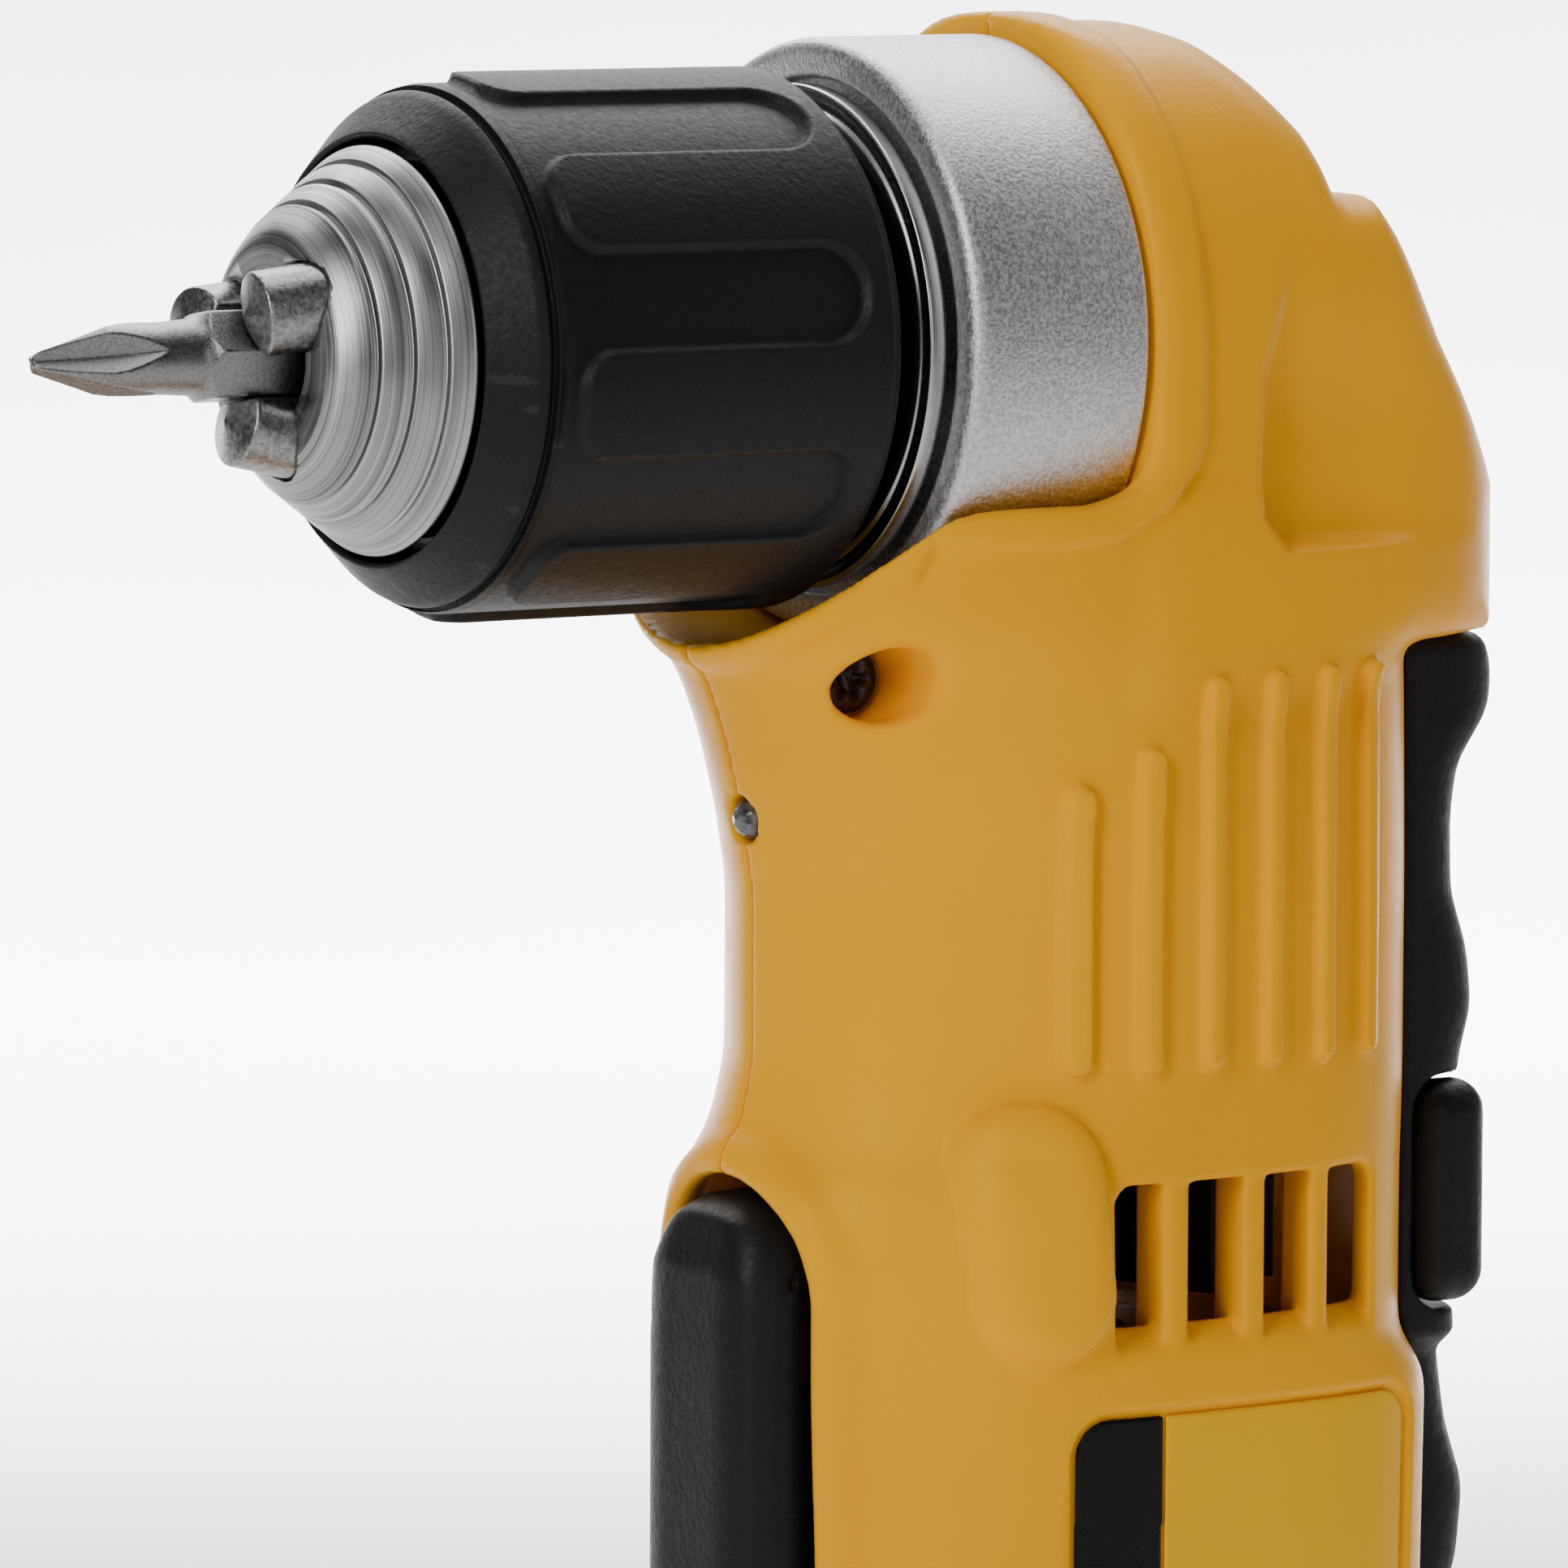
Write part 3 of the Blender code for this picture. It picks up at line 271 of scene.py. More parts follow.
def rounded(profile, radius, steps=4):
    """A closed profile with its corners rounded by up to radius, or by a point's third value."""
    out = []
    count = len(profile)
    for i, corner in enumerate(profile):
        if corner[1] < 1e-6:
            out.append(corner)
            continue
        here = Vector(corner[:2])
        size = corner[2] if len(corner) > 2 else radius
        before = Vector(profile[i - 1][:2]) - here
        after = Vector(profile[(i + 1) % count][:2]) - here
        cut = min(size, before.length * 0.45, after.length * 0.45)
        a, b = here + before.normalized() * cut, here + after.normalized() * cut
        for n in range(steps + 1):
            t = n / steps
            out.append(tuple(a * (1 - t) ** 2 + here * 2 * t * (1 - t) + b * t ** 2))
    return out


def cut(obj, tool):
    """Take one solid out of another, and drop the tool."""
    modifier = obj.modifiers.new("cut", "BOOLEAN")
    modifier.operation = "DIFFERENCE"
    modifier.object = tool
    modifier.solver = "EXACT"
    graph = bpy.context.evaluated_depsgraph_get()
    mesh = bpy.data.meshes.new_from_object(obj.evaluated_get(graph))
    obj.modifiers.clear()
    obj.data = mesh
    bpy.data.objects.remove(tool)


# Materials

class Nodes:
    """A material's node tree, with short calls for the nodes used here."""

    def __init__(self, name, metallic=0.0, roughness=0.5, coat=0.0):
        self.material = bpy.data.materials.new(name)
        self.material.use_nodes = True
        self.tree = self.material.node_tree
        self.shader = self.tree.nodes["Principled BSDF"]
        self.shader.inputs["Metallic"].default_value = metallic
        self.shader.inputs["Roughness"].default_value = roughness
        self.shader.inputs["Coat Weight"].default_value = coat
        self.place = self.new("ShaderNodeTexCoord").outputs["Object"]

    def new(self, kind, **settings):
        node = self.tree.nodes.new(kind)
        for key, value in settings.items():
            setattr(node, key, value)
        return node

    def link(self, output, target):
        self.tree.links.new(output, target)

    def scaled(self, factors):
        """Object position times factors, for a stretched texture."""
        node = self.new("ShaderNodeMapping")
        node.inputs["Scale"].default_value = factors
        self.link(self.place, node.inputs["Vector"])
        return node.outputs["Vector"]

    def noise(self, scale, detail=2.0, roughness=0.5, vector=None):
        node = self.new("ShaderNodeTexNoise")
        node.inputs["Scale"].default_value = scale
        node.inputs["Detail"].default_value = detail
        node.inputs["Roughness"].default_value = roughness
        self.link(vector or self.place, node.inputs["Vector"])
        return node.outputs["Fac"]

    def ramp(self, value, low, high, start=0.0, end=1.0):
        """value from low..high onto start..end."""
        node = self.new("ShaderNodeMapRange")
        for key, number in zip(("From Min", "From Max", "To Min", "To Max"),
                               (low, high, start, end)):
            node.inputs[key].default_value = number
        self.link(value, node.inputs["Value"])
        return node.outputs["Result"]

    def mix(self, factor, a, b):
        """Colour a to colour b by a factor; each is a colour or an output."""
        node = self.new("ShaderNodeMix", data_type="RGBA")
        self.link(factor, node.inputs["Factor"])
        for value, socket in ((a, node.inputs["A"]), (b, node.inputs["B"])):
            if isinstance(value, tuple):
                socket.default_value = (*value, 1)
            else:
                self.link(value, socket)
        return node.outputs["Result"]

    def math(self, operation, a, b=None):
        node = self.new("ShaderNodeMath", operation=operation)
        for value, socket in zip((a, b), node.inputs):
            if isinstance(value, (int, float)):
                socket.default_value = value
            elif value is not None:
                self.link(value, socket)
        return node.outputs[0]

    def bump(self, height, strength, distance):
        node = self.new("ShaderNodeBump")
        node.inputs["Strength"].default_value = strength
        node.inputs["Distance"].default_value = distance
        self.link(height, node.inputs["Height"])
        self.link(node.outputs["Normal"], self.shader.inputs["Normal"])

    def colour(self, output):
        self.link(output, self.shader.inputs["Base Color"])

    def rough(self, output):
        self.link(output, self.shader.inputs["Roughness"])


def edge_wear(nodes, low=0.52, high=0.6):
    """1 on outward edges, 0 elsewhere, from the mesh's pointiness."""
    geometry = nodes.new("ShaderNodeNewGeometry")
    return nodes.ramp(geometry.outputs["Pointiness"], low, high)


def moulded(name, colour, shade, roughness, grain=0.5, size=2600, wear=None, gloss=None):
    """Moulded plastic: a fine spark-eroded grain and slight changes of shade.

    wear is the colour of rubbed edges, and gloss the tint of highlights.
    """
    n = Nodes(name, roughness=roughness)
    n.shader.inputs["Specular IOR Level"].default_value = 0.22
    if gloss:
        n.shader.inputs["Specular Tint"].default_value = (*gloss, 1)
    cloud = n.noise(28, 3)
    speck = n.noise(size, 2, 0.6)
    tone = n.mix(n.ramp(cloud, 0.35, 0.65), shade, colour)
    if wear:
        tone = n.mix(edge_wear(n), tone, wear)
    n.colour(tone)
    n.rough(n.ramp(speck, 0.3, 0.7, roughness - 0.05, roughness + 0.07))
    n.bump(n.math("ADD", speck, n.math("MULTIPLY", n.noise(size * 0.35, 2), 0.6)),
           grain, 0.00008)
    return n.material


def lathe(name, colour, dark, roughness, line=2600.0):
    """Turned steel: fine rings about the chuck axis, with a few deeper ones."""
    n = Nodes(name, metallic=1.0, roughness=roughness)
    n.shader.inputs["Anisotropic"].default_value = 0.75
    tangent = n.new("ShaderNodeTangent", direction_type="RADIAL", axis="X")
    n.link(tangent.outputs["Tangent"], n.shader.inputs["Tangent"])
    split = n.new("ShaderNodeSeparateXYZ")
    n.link(n.place, split.inputs["Vector"])
    lift = n.math("SUBTRACT", split.outputs["Z"], AXIS_Z * MM)
    square = n.math("ADD", n.math("MULTIPLY", lift, lift),
                    n.math("MULTIPLY", split.outputs["Y"], split.outputs["Y"]))
    radius = n.math("SQRT", square)
    join = n.new("ShaderNodeCombineXYZ")
    n.link(split.outputs["X"], join.inputs["X"])
    n.link(radius, join.inputs["Y"])
    fine = n.noise(line * 3, 3, 0.7, join.outputs["Vector"])
    coarse = n.noise(line * 0.6, 2, 0.5, join.outputs["Vector"])
    smear = n.noise(140, 3)
    n.colour(n.mix(n.ramp(n.math("ADD", fine, coarse), 0.7, 1.25), dark, colour))
    n.rough(n.ramp(smear, 0.3, 0.7, roughness - 0.06, roughness + 0.1))
    n.bump(n.math("ADD", fine, coarse), 0.2, 0.00004)
    return n.material


def metal(name, colour, dark, roughness, grain, size, strength=0.4):
    """Cast, blasted or ground metal with a grain of its own size."""
    n = Nodes(name, metallic=1.0, roughness=roughness)
    speck = n.noise(size, 3, 0.65)
    cloud = n.noise(60, 3)
    tone = n.mix(n.ramp(speck, 0.38, 0.62), dark, colour)
    n.colour(n.mix(n.ramp(cloud, 0.3, 0.7, 0.0, 0.25), tone, dark))
    n.rough(n.ramp(speck, 0.3, 0.7, roughness - grain, roughness + grain))
    n.bump(speck, strength, 0.00012)
    return n.material


def windings(name):
    """Varnished copper wire round dark laminations."""
    n = Nodes(name, metallic=0.8, roughness=0.35)
    wire = n.new("ShaderNodeTexWave", bands_direction="Z")
    wire.inputs["Scale"].default_value = 420
    n.link(n.place, wire.inputs["Vector"])
    n.colour(n.mix(n.ramp(wire.outputs["Fac"], 0.2, 0.8), (0.10, 0.04, 0.015),
                   (0.62, 0.25, 0.08)))
    n.bump(wire.outputs["Fac"], 0.6, 0.0002)
    return n.material


def wrapped_cell(name):
    """Shrink wrap: glossy film with faint creases."""
    n = Nodes(name, roughness=0.28, coat=0.3)
    crease = n.noise(90, 4, 0.6, n.scaled((1, 0.25, 1)))
    n.colour(n.mix(n.ramp(crease, 0.4, 0.6), (0.02, 0.16, 0.33), (0.04, 0.24, 0.45)))
    n.bump(crease, 0.25, 0.0003)
    return n.material


def lens(name):
    """Smoked clear plastic with moulded facets."""
    n = Nodes(name, roughness=0.12, coat=0.6)
    facet = n.new("ShaderNodeTexVoronoi", feature="F1")
    facet.inputs["Scale"].default_value = 900
    n.link(n.place, facet.inputs["Vector"])
    n.colour(n.mix(n.ramp(facet.outputs["Distance"], 0.0, 0.7), (0.20, 0.20, 0.21),
                   (0.035, 0.035, 0.04)))
    n.bump(facet.outputs["Distance"], 0.8, 0.0003)
    return n.material


WARM_GLOSS = (1.0, 0.6, 0.1)
YELLOW = moulded("yellow_moulding", (1.0, 0.455, 0.0), (0.97, 0.42, 0.0), 0.34, 0.35,
                 gloss=WARM_GLOSS)
BLACK = moulded("black_moulding", (0.0085, 0.0087, 0.0095), (0.006, 0.0061, 0.0068), 0.48, 0.7,
                1500, (0.018, 0.018, 0.02))
RUBBER = moulded("grip_rubber", (0.009, 0.009, 0.010), (0.006, 0.006, 0.0068), 0.55, 1.0, 1100,
                 (0.017, 0.017, 0.019))
LEATHER = moulded("paddle_moulding", (0.010, 0.0102, 0.011), (0.007, 0.0071, 0.0078), 0.46, 0.7,
                  2000, (0.022, 0.022, 0.024))
CAST = metal("cast_collar", (0.86, 0.86, 0.87), (0.52, 0.52, 0.53), 0.42, 0.1, 3000, 0.7)
JAW = metal("jaw_steel", (0.44, 0.437, 0.433), (0.22, 0.218, 0.215), 0.34, 0.06, 2600, 0.3)
LATHED = lathe("turned_steel", (0.56, 0.556, 0.55), (0.13, 0.129, 0.127), 0.3)
POLISHED = lathe("polished_steel", (0.70, 0.70, 0.70), (0.38, 0.38, 0.38), 0.2, 5200.0)
BLASTED = metal("blasted_steel", (0.34, 0.335, 0.33), (0.20, 0.197, 0.193), 0.33, 0.07, 5200, 0.25)
GEAR = metal("gear_steel", (0.52, 0.51, 0.50), (0.26, 0.25, 0.24), 0.32, 0.08, 1500, 0.3)
SCREW = metal("screw_steel", (0.08, 0.08, 0.083), (0.04, 0.04, 0.042), 0.42, 0.08, 1900, 0.4)
MOTOR = metal("motor_steel", (0.33, 0.33, 0.34), (0.18, 0.18, 0.185), 0.36, 0.1, 700, 0.3)
MAGNET = metal("magnet_ferrite", (0.09, 0.09, 0.095), (0.05, 0.05, 0.05), 0.5, 0.08, 1200, 0.5)
COPPER = windings("armature_copper")
CELL = wrapped_cell("cell_film")
FILM = moulded("label_film", (0.97, 0.52, 0.0), (0.95, 0.49, 0.0), 0.2, 0.03,
               gloss=WARM_GLOSS)
FILM_DARK = moulded("label_film_dark", (0.004, 0.004, 0.004), (0.003, 0.003, 0.003), 0.3, 0.03)
LENS = lens("smoked_lens")
RED_LEAD = moulded("red_insulation", (0.42, 0.012, 0.01), (0.33, 0.008, 0.008), 0.4, 0.2, 900)
BLACK_LEAD = moulded("black_insulation", (0.013, 0.013, 0.014), (0.009, 0.009, 0.010), 0.4,
                     0.2, 900)


# Housing

# Level sections: z, front, rear, half width, squareness in front and behind
BODY = [
    (-8.0, -36.6, 21.5, 22.2, 2.3, 2.8), (-16.0, -36.6, 22.0, 22.2, 2.2, 2.9),
    (-21.3, -36.6, 22.8, 22.0, 2.05, 3.0), (-25.0, -34.2, 23.2, 22.0, 1.8, 3.1),
    (-30.0, -32.3, 23.2, 22.0, 1.75, 3.1), (-37.0, -30.6, 23.2, 22.0, 1.7, 3.1),
    (-39.4, -30.4, 23.2, 22.0, 1.7, 3.1), (-40.4, -29.9, 23.2, 22.0, 1.7, 3.1),
    (-55.0, -29.9, 23.2, 22.0, 1.7, 3.1), (-60.5, -31.2, 23.2, 22.0, 1.75, 3.1),
    (-63.8, -33.4, 23.2, 22.0, 1.85, 3.1), (-70.0, -34.0, 23.2, 22.0, 2.0, 3.1),
    (-77.5, -34.0, 23.2, 22.0, 2.0, 3.1), (-80.0, -34.0, 24.2, 22.0, 2.0, 4.0),
    (-118.0, -32.8, 24.0, 21.6, 2.0, 3.8), (-127.0, -31.4, 23.4, 21.4, 2.1, 3.2),
    (-148.0, -21.5, 21.5, 18.0, 2.2, 2.5), (-166.0, -18.0, 19.5, 16.5, 2.3, 2.3),
    (-192.0, -18.0, 19.5, 16.5, 2.3, 2.3), (-214.0, -27.0, 28.0, 22.0, 2.4, 2.4),
]
FOOT = [
    (-198.0, -34.0, 32.0, 24.0, 2.8, 2.8), (-203.0, -42.0, 38.5, 29.0, 3.0, 3.0),
    (-210.0, -50.0, 45.0, 33.2, 3.2, 3.2), (-240.0, -53.0, 48.0, 34.5, 3.6, 3.6),
]
# Side outline of the head, then its half width along x
HEAD_SIDE = [
    (-9.3, -27.0), (-9.3, 24.5), (2.2, 24.5), (5.4, 22.8), (7.8, 19.4), (10.2, 15.4),
    (11.0, 12.8), (11.4, 10.7), (15.4, 10.3), (17.2, 7.6), (21.9, -0.4), (28.5, -10.3),
    (29.4, -12.0), (29.4, -23.6), (18.0, -23.9), (8.0, -27.0),
]
HEAD_WIDTH = [
    (-12.0, 22.4), (0.0, 22.4), (10.0, 21.9), (17.0, 20.8), (23.0, 18.8), (27.0, 16.6),
    (29.5, 14.6),
]
POCKET = [(1.4, -2.0), (1.4, -13.4), (4.0, -16.0), (40.0, -16.0), (40.0, 40.0), (14.0, 40.0)]
HEAD_TOP = 24.45
LAMP_Z = -36.2
COLLAR_BORE, TROUGH = 22.75, 21.9      # radius of the collar's seat and of the sleeve's cradle
RIM_HEIGHT = 0.75
# Each rib's x and upper end; all stand on one line
RIBS = [(-13.7, -33.9), (-8.3, -31.2), (-2.9, -26.0), (2.6, -25.8), (7.8, -25.6), (12.7, -25.4)]
RIB_FOOT = -53.8
BLISTER_TOP, BLISTER_END, BLISTER_RADIUS = (-17.2, -61.8), (-16.6, -71.2), 4.8
ARCH_HALF, ARCH_TOP, ARCH_END = 9.5, -63.0, -146.0      # the paddle's opening
# Lower front and upper rear corners
LABEL = ((-14.3, -122.0), (18.0, -80.3))
VENT = ((-10.9, -73.2), (13.8, -63.2))
FINS = [(-7.0, -4.4), (0.4, 2.7), (7.0, 9.2)]           # front and rear of each
SCREWS = {                    # x, z, and y under the head
    "nose_screw": (-26.3, -25.3, -6.5), "head_screw": (22.0, -18.0, 13.5),
    "handle_screw": (5.0, -172.0, -11.5), "foot_front_screw": (-36.0, -213.0, -21.5),
    "foot_rear_screw": (33.0, -209.6, -19.0),
}


def arch(y, z, grow=0.0):
    """Front outline of the paddle's opening: straight sides under an arch."""
    half = ARCH_HALF + grow
    top = ARCH_TOP + grow
    crown = np.hypot(y, (z - top + half) * 1.02) - half
    sides = np.maximum(np.abs(y) - half, z - top + half)
    return np.maximum(np.minimum(crown, sides), ARCH_END - grow - z)


def head_form(x, y, z):
    """The head: its side outline under a round back that narrows to the rear."""
    back = 24.4               # radius of the round back
    flank = np.hypot(y * (back / run(x, HEAD_WIDTH, 1, 1.5)), np.maximum(z, 0)) - back
    return smax(polygon(x, z, HEAD_SIDE), flank * 0.95, 4.5)


def outer_form(x, y, z):
    """The housing before its raised and sunk details: body, head with side pockets, foot."""
    body = smax(plan(x, y, z, BODY), z + 11.8, 0.8)
    foot = smax(plan(x, y, z, FOOT), -236.0 - z, 1.5)
    foot = smax(foot, z + 200.5, 4.0)
    head = head_form(x, y, z)
    fade = (1 - step(-8.0, 9.0, z)) * (1 - step(10.0, 26.0, x))
    sunk = 2.2 * (1 - step(-1.4, 0.4, polygon(x, z, POCKET))) * fade
    form = smin(head + sunk, body + sunk, 2.0)
    return smin(form, smax(foot, z + 198, 1), 5.0)


def opening(x, z):
    """The side view of the collar's opening: behind it a wall, under it a cradle."""
    return slab(x, z, (-90.0, -11.9), (-9.3, 90.0), 5.0)


def details(form, x, y, z):
    """Rim round the collar, ribs, blister, label recess, and lip round the paddle."""
    edge = np.minimum(opening(x, z), np.hypot(y, z) - TROUGH + np.maximum(x + 27.0, 0))
    rim_width = 2.8 + 2.2 * step(-14.0, -6.0, z)
    rim = (1 - step(-0.55, 0.55, edge - rim_width)) * step(-45.0, -40.0, x)
    form = form - RIM_HEIGHT * rim
    for i, (rib_x, top) in enumerate(RIBS):
        rib = bar(x, z, rib_x, RIB_FOOT, rib_x, top, 1.0 - 0.04 * i)
        form = smin(form, smax(form - 1.0, rib, 0.4), 0.25)
    blister = bar(x, z, *BLISTER_TOP, *BLISTER_END, BLISTER_RADIUS)
    form = form - 2.1 * np.sqrt(1 - np.clip((blister + 2.6) / 3.0, 0, 1) ** 2)
    form = form + 0.9 * (1 - step(-0.35, 0.35, slab(x, z, *LABEL, 3.2)))
    lip = arch(y, z) + np.maximum(x + 22.0, 0)
    form = form - 0.7 * (1 - step(2.2, 4.2, lip))
    return smax(form, z - HEAD_TOP, 0.3)


def vents(form, base, x, y, z):
    """A window through the wall with a sloped sill, and three upright fins in it."""
    (window_x, sill_z), (_, top_z) = VENT
    sill = sill_z - 2.8 + np.clip(-base, 0, 2.8)
    window = smax(slab(x, z, (window_x, -90.0), VENT[1], 1.6), sill - z, 0.8)
    inner = np.abs(y) < 14.0
    form = carve(form, np.where(inner, 5.0, window), 0.7)
    for left, right in FINS:
        fin = smax(np.maximum(left + 0.2 - x, x - right),
                   np.maximum(base + 0.25, -4.5 - base), 0.5)
        fin = np.maximum(fin, np.maximum(z - top_z - 1.0, sill_z - 3.4 - z))
        form = smin(form, np.where(inner, 5.0, fin), 0.25)
    return form


def cavity(base, x, y, z):
    """The hollow inside: the wall drawn in, less the posts, cradle and floor."""
    hollow = base + WALL
    for sx, sz, _ in SCREWS.values():
        hollow = smax(hollow, 3.9 - np.hypot(x - sx, z - sz), 0.6)
    hollow = np.maximum(hollow, 3.2 - np.hypot(x - PIVOT_X, z - PIVOT_Z))
    cradle = smax(np.hypot(y, z) - 24.6, x + 6.6, 0.5)
    return np.maximum(carve(hollow, cradle), -215.8 - z)


def openings(form, x, y, z):
    """Openings that both halves share."""
    radius = np.hypot(y, z)
    form = carve(form, opening(x, z), 1.3)
    trough = smin(np.maximum(radius - COLLAR_BORE, x + 9.0),
                  np.maximum(radius - TROUGH, x + 25.4), 0.3)
    form = carve(form, trough, 1.0)
    spindle_bore = np.maximum(radius - 15.8, x + 6.0)
    gearbox_neck = np.maximum(np.hypot(x, y) - 12.4, np.abs(z + 22.0) - 7.0)
    lamp_hole = np.maximum(np.hypot(y, z - LAMP_Z) - 1.75, x + 20.0)
    shift_slot = block(x, y, z, (15, -4, -54.5), (45, 4, -42))
    pin_hole = np.maximum(np.hypot(x - PIVOT_X, z - PIVOT_Z) - 1.8, y - 14.9)
    form = carve(carve(form, spindle_bore), gearbox_neck)
    form = carve(form, lamp_hole, 0.4)
    form = carve(form, np.maximum(arch(y, z), x + 13.0), 2.2)
    form = carve(carve(form, shift_slot), pin_hole)
    # Under the foot: the battery's rails, its cover and the terminal block
    form = carve(form, block(x, y, z, (-70, -21.5, -240), (28.8, 21.5, -229.6)), 0.4)
    form = carve(form, block(x, y, z, (-70, -25.0, -230), (28.8, 25.0, -223)))
    form = carve(form, block(x, y, z, (20.0, -18.4, -229.3), (44.1, 18.4, -224)))
    return carve(form, block(x, y, z, (29.9, -17.4, -226), (43.4, 17.4, -214)))


def screw_holes(form, side, x, y, z):
    """Counterbores where a screw's head is on this side, blind holes where its tip is."""
    for sx, sz, head_y in SCREWS.values():
        away = np.hypot(x - sx, z - sz)
        if side * head_y > 0:
            form = carve(form, np.maximum(away - 2.9, abs(head_y) - y), 1.2)
            form = carve(form, away - 1.8)
        else:
            form = carve(form, np.maximum(away - 1.8, y - 8.3))
    return form


def housing():
    """Two half shells with a hairline gap between them, made as one half field."""
    rows = x, y, z = grid((-56.0, -1.0, -239.0), (51.0, 36.0, 27.0), VOXEL)
    base = outer_form(x, y, z)
    form = carve(details(base, x, y, z), cavity(base, x, y, z), 0.4)
    form = openings(vents(form, base, x, y, z), x, y, z)
    form = smax(form, 0.08 - y, 0.25)
    for name, side in (("left_housing", -1), ("right_housing", 1)):
        half = skin(f"{name}_shell", rows, screw_holes(form, side, x, y, z), mirror=side < 0)
        finish_piece(half, "tool_body", YELLOW, (name,))


# Head and chuck, in the head frame

JAW_TILT = math.radians(13)
JAW_X, JAW_OUT = -61.0, 4.3       # a jaw's front end on its own axis
CHUCK_TURN = math.radians(50)
BIT_TIP = -74.8


def collar_casting():
    casting = turned("collar_casting", rounded(
        [(-7.8, 19.4, 0.6), (-7.8, 22.4, 1.9), (7.8, 22.4, 0.5), (7.8, 14.4, 0.3),
         (-3.4, 14.4, 0.3), (-3.4, 8.0, 0.3), (-6.4, 8.0, 0.3), (-6.4, 19.4, 0.4)], 0.5, 5), 224)
    relief = turned("pinion_relief", [(-30.0, 0.0), (-30.0, 12.4), (-15.5, 12.4), (-15.5, 0.0)],
                    64, (0, 0, 0), "Z")
    cut(casting, relief)
    finish_piece(casting, "tool_body", CAST, ("gearcase_collar",))


def collar_face_ring():
    """Bright ring with a groove, in the collar's face."""
    ring = turned("collar_face_ring", rounded(
        [(-9.6, 8.3), (-9.6, 17.2), (-9.1, 17.6), (-9.6, 18.2), (-9.6, 19.0), (-8.1, 19.0),
         (-8.1, 8.3)], 0.3, 3), 192)
    finish_piece(ring, "tool_body", POLISHED, ("collar_ring",))


def chuck_shield():
    """Stepped ring that closes the sleeve's back."""
    rear = turned("chuck_shield", rounded(
        [(-12.0, 5.4), (-12.0, 17.0), (-10.9, 17.0), (-10.9, 16.2), (-10.4, 16.2), (-10.0, 15.0),
         (-10.0, 5.4)], 0.25, 3), 160)
    finish_piece(rear, "chuck", BLACK, ("chuck_rear_ring",))


def pads(along, angle, radius):
    """Height of the sleeve's eight raised pads: between them run slots closed at the rear."""
    period = math.pi / 4
    turn = (-angle - math.radians(9.5) + period / 2) % period - period / 2
    middle = np.abs(turn) * 19.8
    pad = slab(along, middle, (-40.2, -4.05), (0.0, 4.05), 2.7)
    slot = slab(along, period * 19.8 / 2 - middle, (-80.0, -3.75), (-15.5, 3.75), 3.5)
    raised = np.minimum(pad, np.maximum(-slot, -28.0 - along))
    height = 0.8 * (1 - step(-0.15, 0.22, raised)) * (1 - step(-13.7, -12.9, along))
    return height * (radius > 19.3)


def sleeve():
    """Ribbed grip sleeve with a chamfered nose and a step before the pads."""
    chamfer = [(-46.35 + 3.05 * t, 15.9 + 2.85 * t, 0.1) for t in np.linspace(0.2, 0.7, 6)]
    outer = rounded([(-46.0, 15.5, 0.2), (-46.35, 15.9, 0.4), *chamfer, (-43.3, 18.75, 0.8),
                     (-42.6, 19.05, 0.3), (-42.5, 18.6, 0.2), (-42.0, 18.6, 0.2),
                     (-41.9, 19.5, 0.3)], 0.3, 4)
    outer += [(along, 19.5) for along in np.arange(-41.4, -12.9, 0.24)]
    outer += rounded([(-12.6, 19.5, 0.6), (-12.2, 18.9, 0.4), (-12.2, 16.9, 0.3),
                      (-41.4, 16.9, 0.3), (-41.4, 15.5, 0.3)], 0.3, 3)
    obj = turned("chuck_grip_sleeve", outer, 512, ripple=pads)
    finish_piece(obj, "sleeve", LEATHER, ("chuck_sleeve",))


def nose():
    """Chuck body: four turned bands with grooves between, a faced front and jaw bores."""
    cone = [(-55.0, 5.0, 0.4), (-55.0, 8.3, 0.3), (-54.3, 9.3, 0.5)]
    for i, (x, r) in enumerate([(-52.6, 10.9), (-50.5, 12.35), (-48.5, 13.75)]):
        cone += [(x, r, 0.12), (x + 0.12, r - 0.32, 0.1), (x + 0.45, r - 0.14, 0.1),
                 (x + 0.5, r + 0.3, 0.15)]
    cone += [(-46.6, 15.05, 0.25), (-46.3, 15.1, 0.1), (-46.3, 13.8, 0.1), (-42.2, 13.8, 0.1),
             (-42.2, 15.2, 0.1), (-40.4, 15.2, 0.1), (-40.4, 14.5, 0.1), (-33.6, 14.5, 0.1),
             (-33.6, 15.6, 0.1), (-12.4, 15.6, 0.3), (-12.4, 5.3, 0.1), (-30.0, 5.3, 0.1),
             (-30.0, 5.0, 0.1)]
    body = turned("chuck_nose", rounded(cone, 0.2, 3), 160)
    jaw_axis = (Matrix.Translation((JAW_X * MM, 0, JAW_OUT * MM))
                @ Matrix.Rotation(-JAW_TILT, 4, "Y"))
    for index in range(3):
        bore = turned("jaw_bore", [(-6, 0), (-6, 3.35), (33, 3.35), (33, 0)], 48, (0, 0, 0))
        swing(bore, index, jaw_axis)
        cut(body, bore)
    finish_piece(body, "chuck", LATHED, ("chuck_body",))


def swing(obj, index, own=Matrix()):
    """Carry a piece made about the head's origin to a jaw's place round the chuck."""
    head = Matrix.Translation((COLLAR_X * MM, 0, AXIS_Z * MM))
    spin = Matrix.Rotation(CHUCK_TURN + math.radians(120 * index), 4, "X")
    obj.data.transform(head @ spin @ own @ Matrix.Translation((0, 0, -AXIS_Z * MM)))


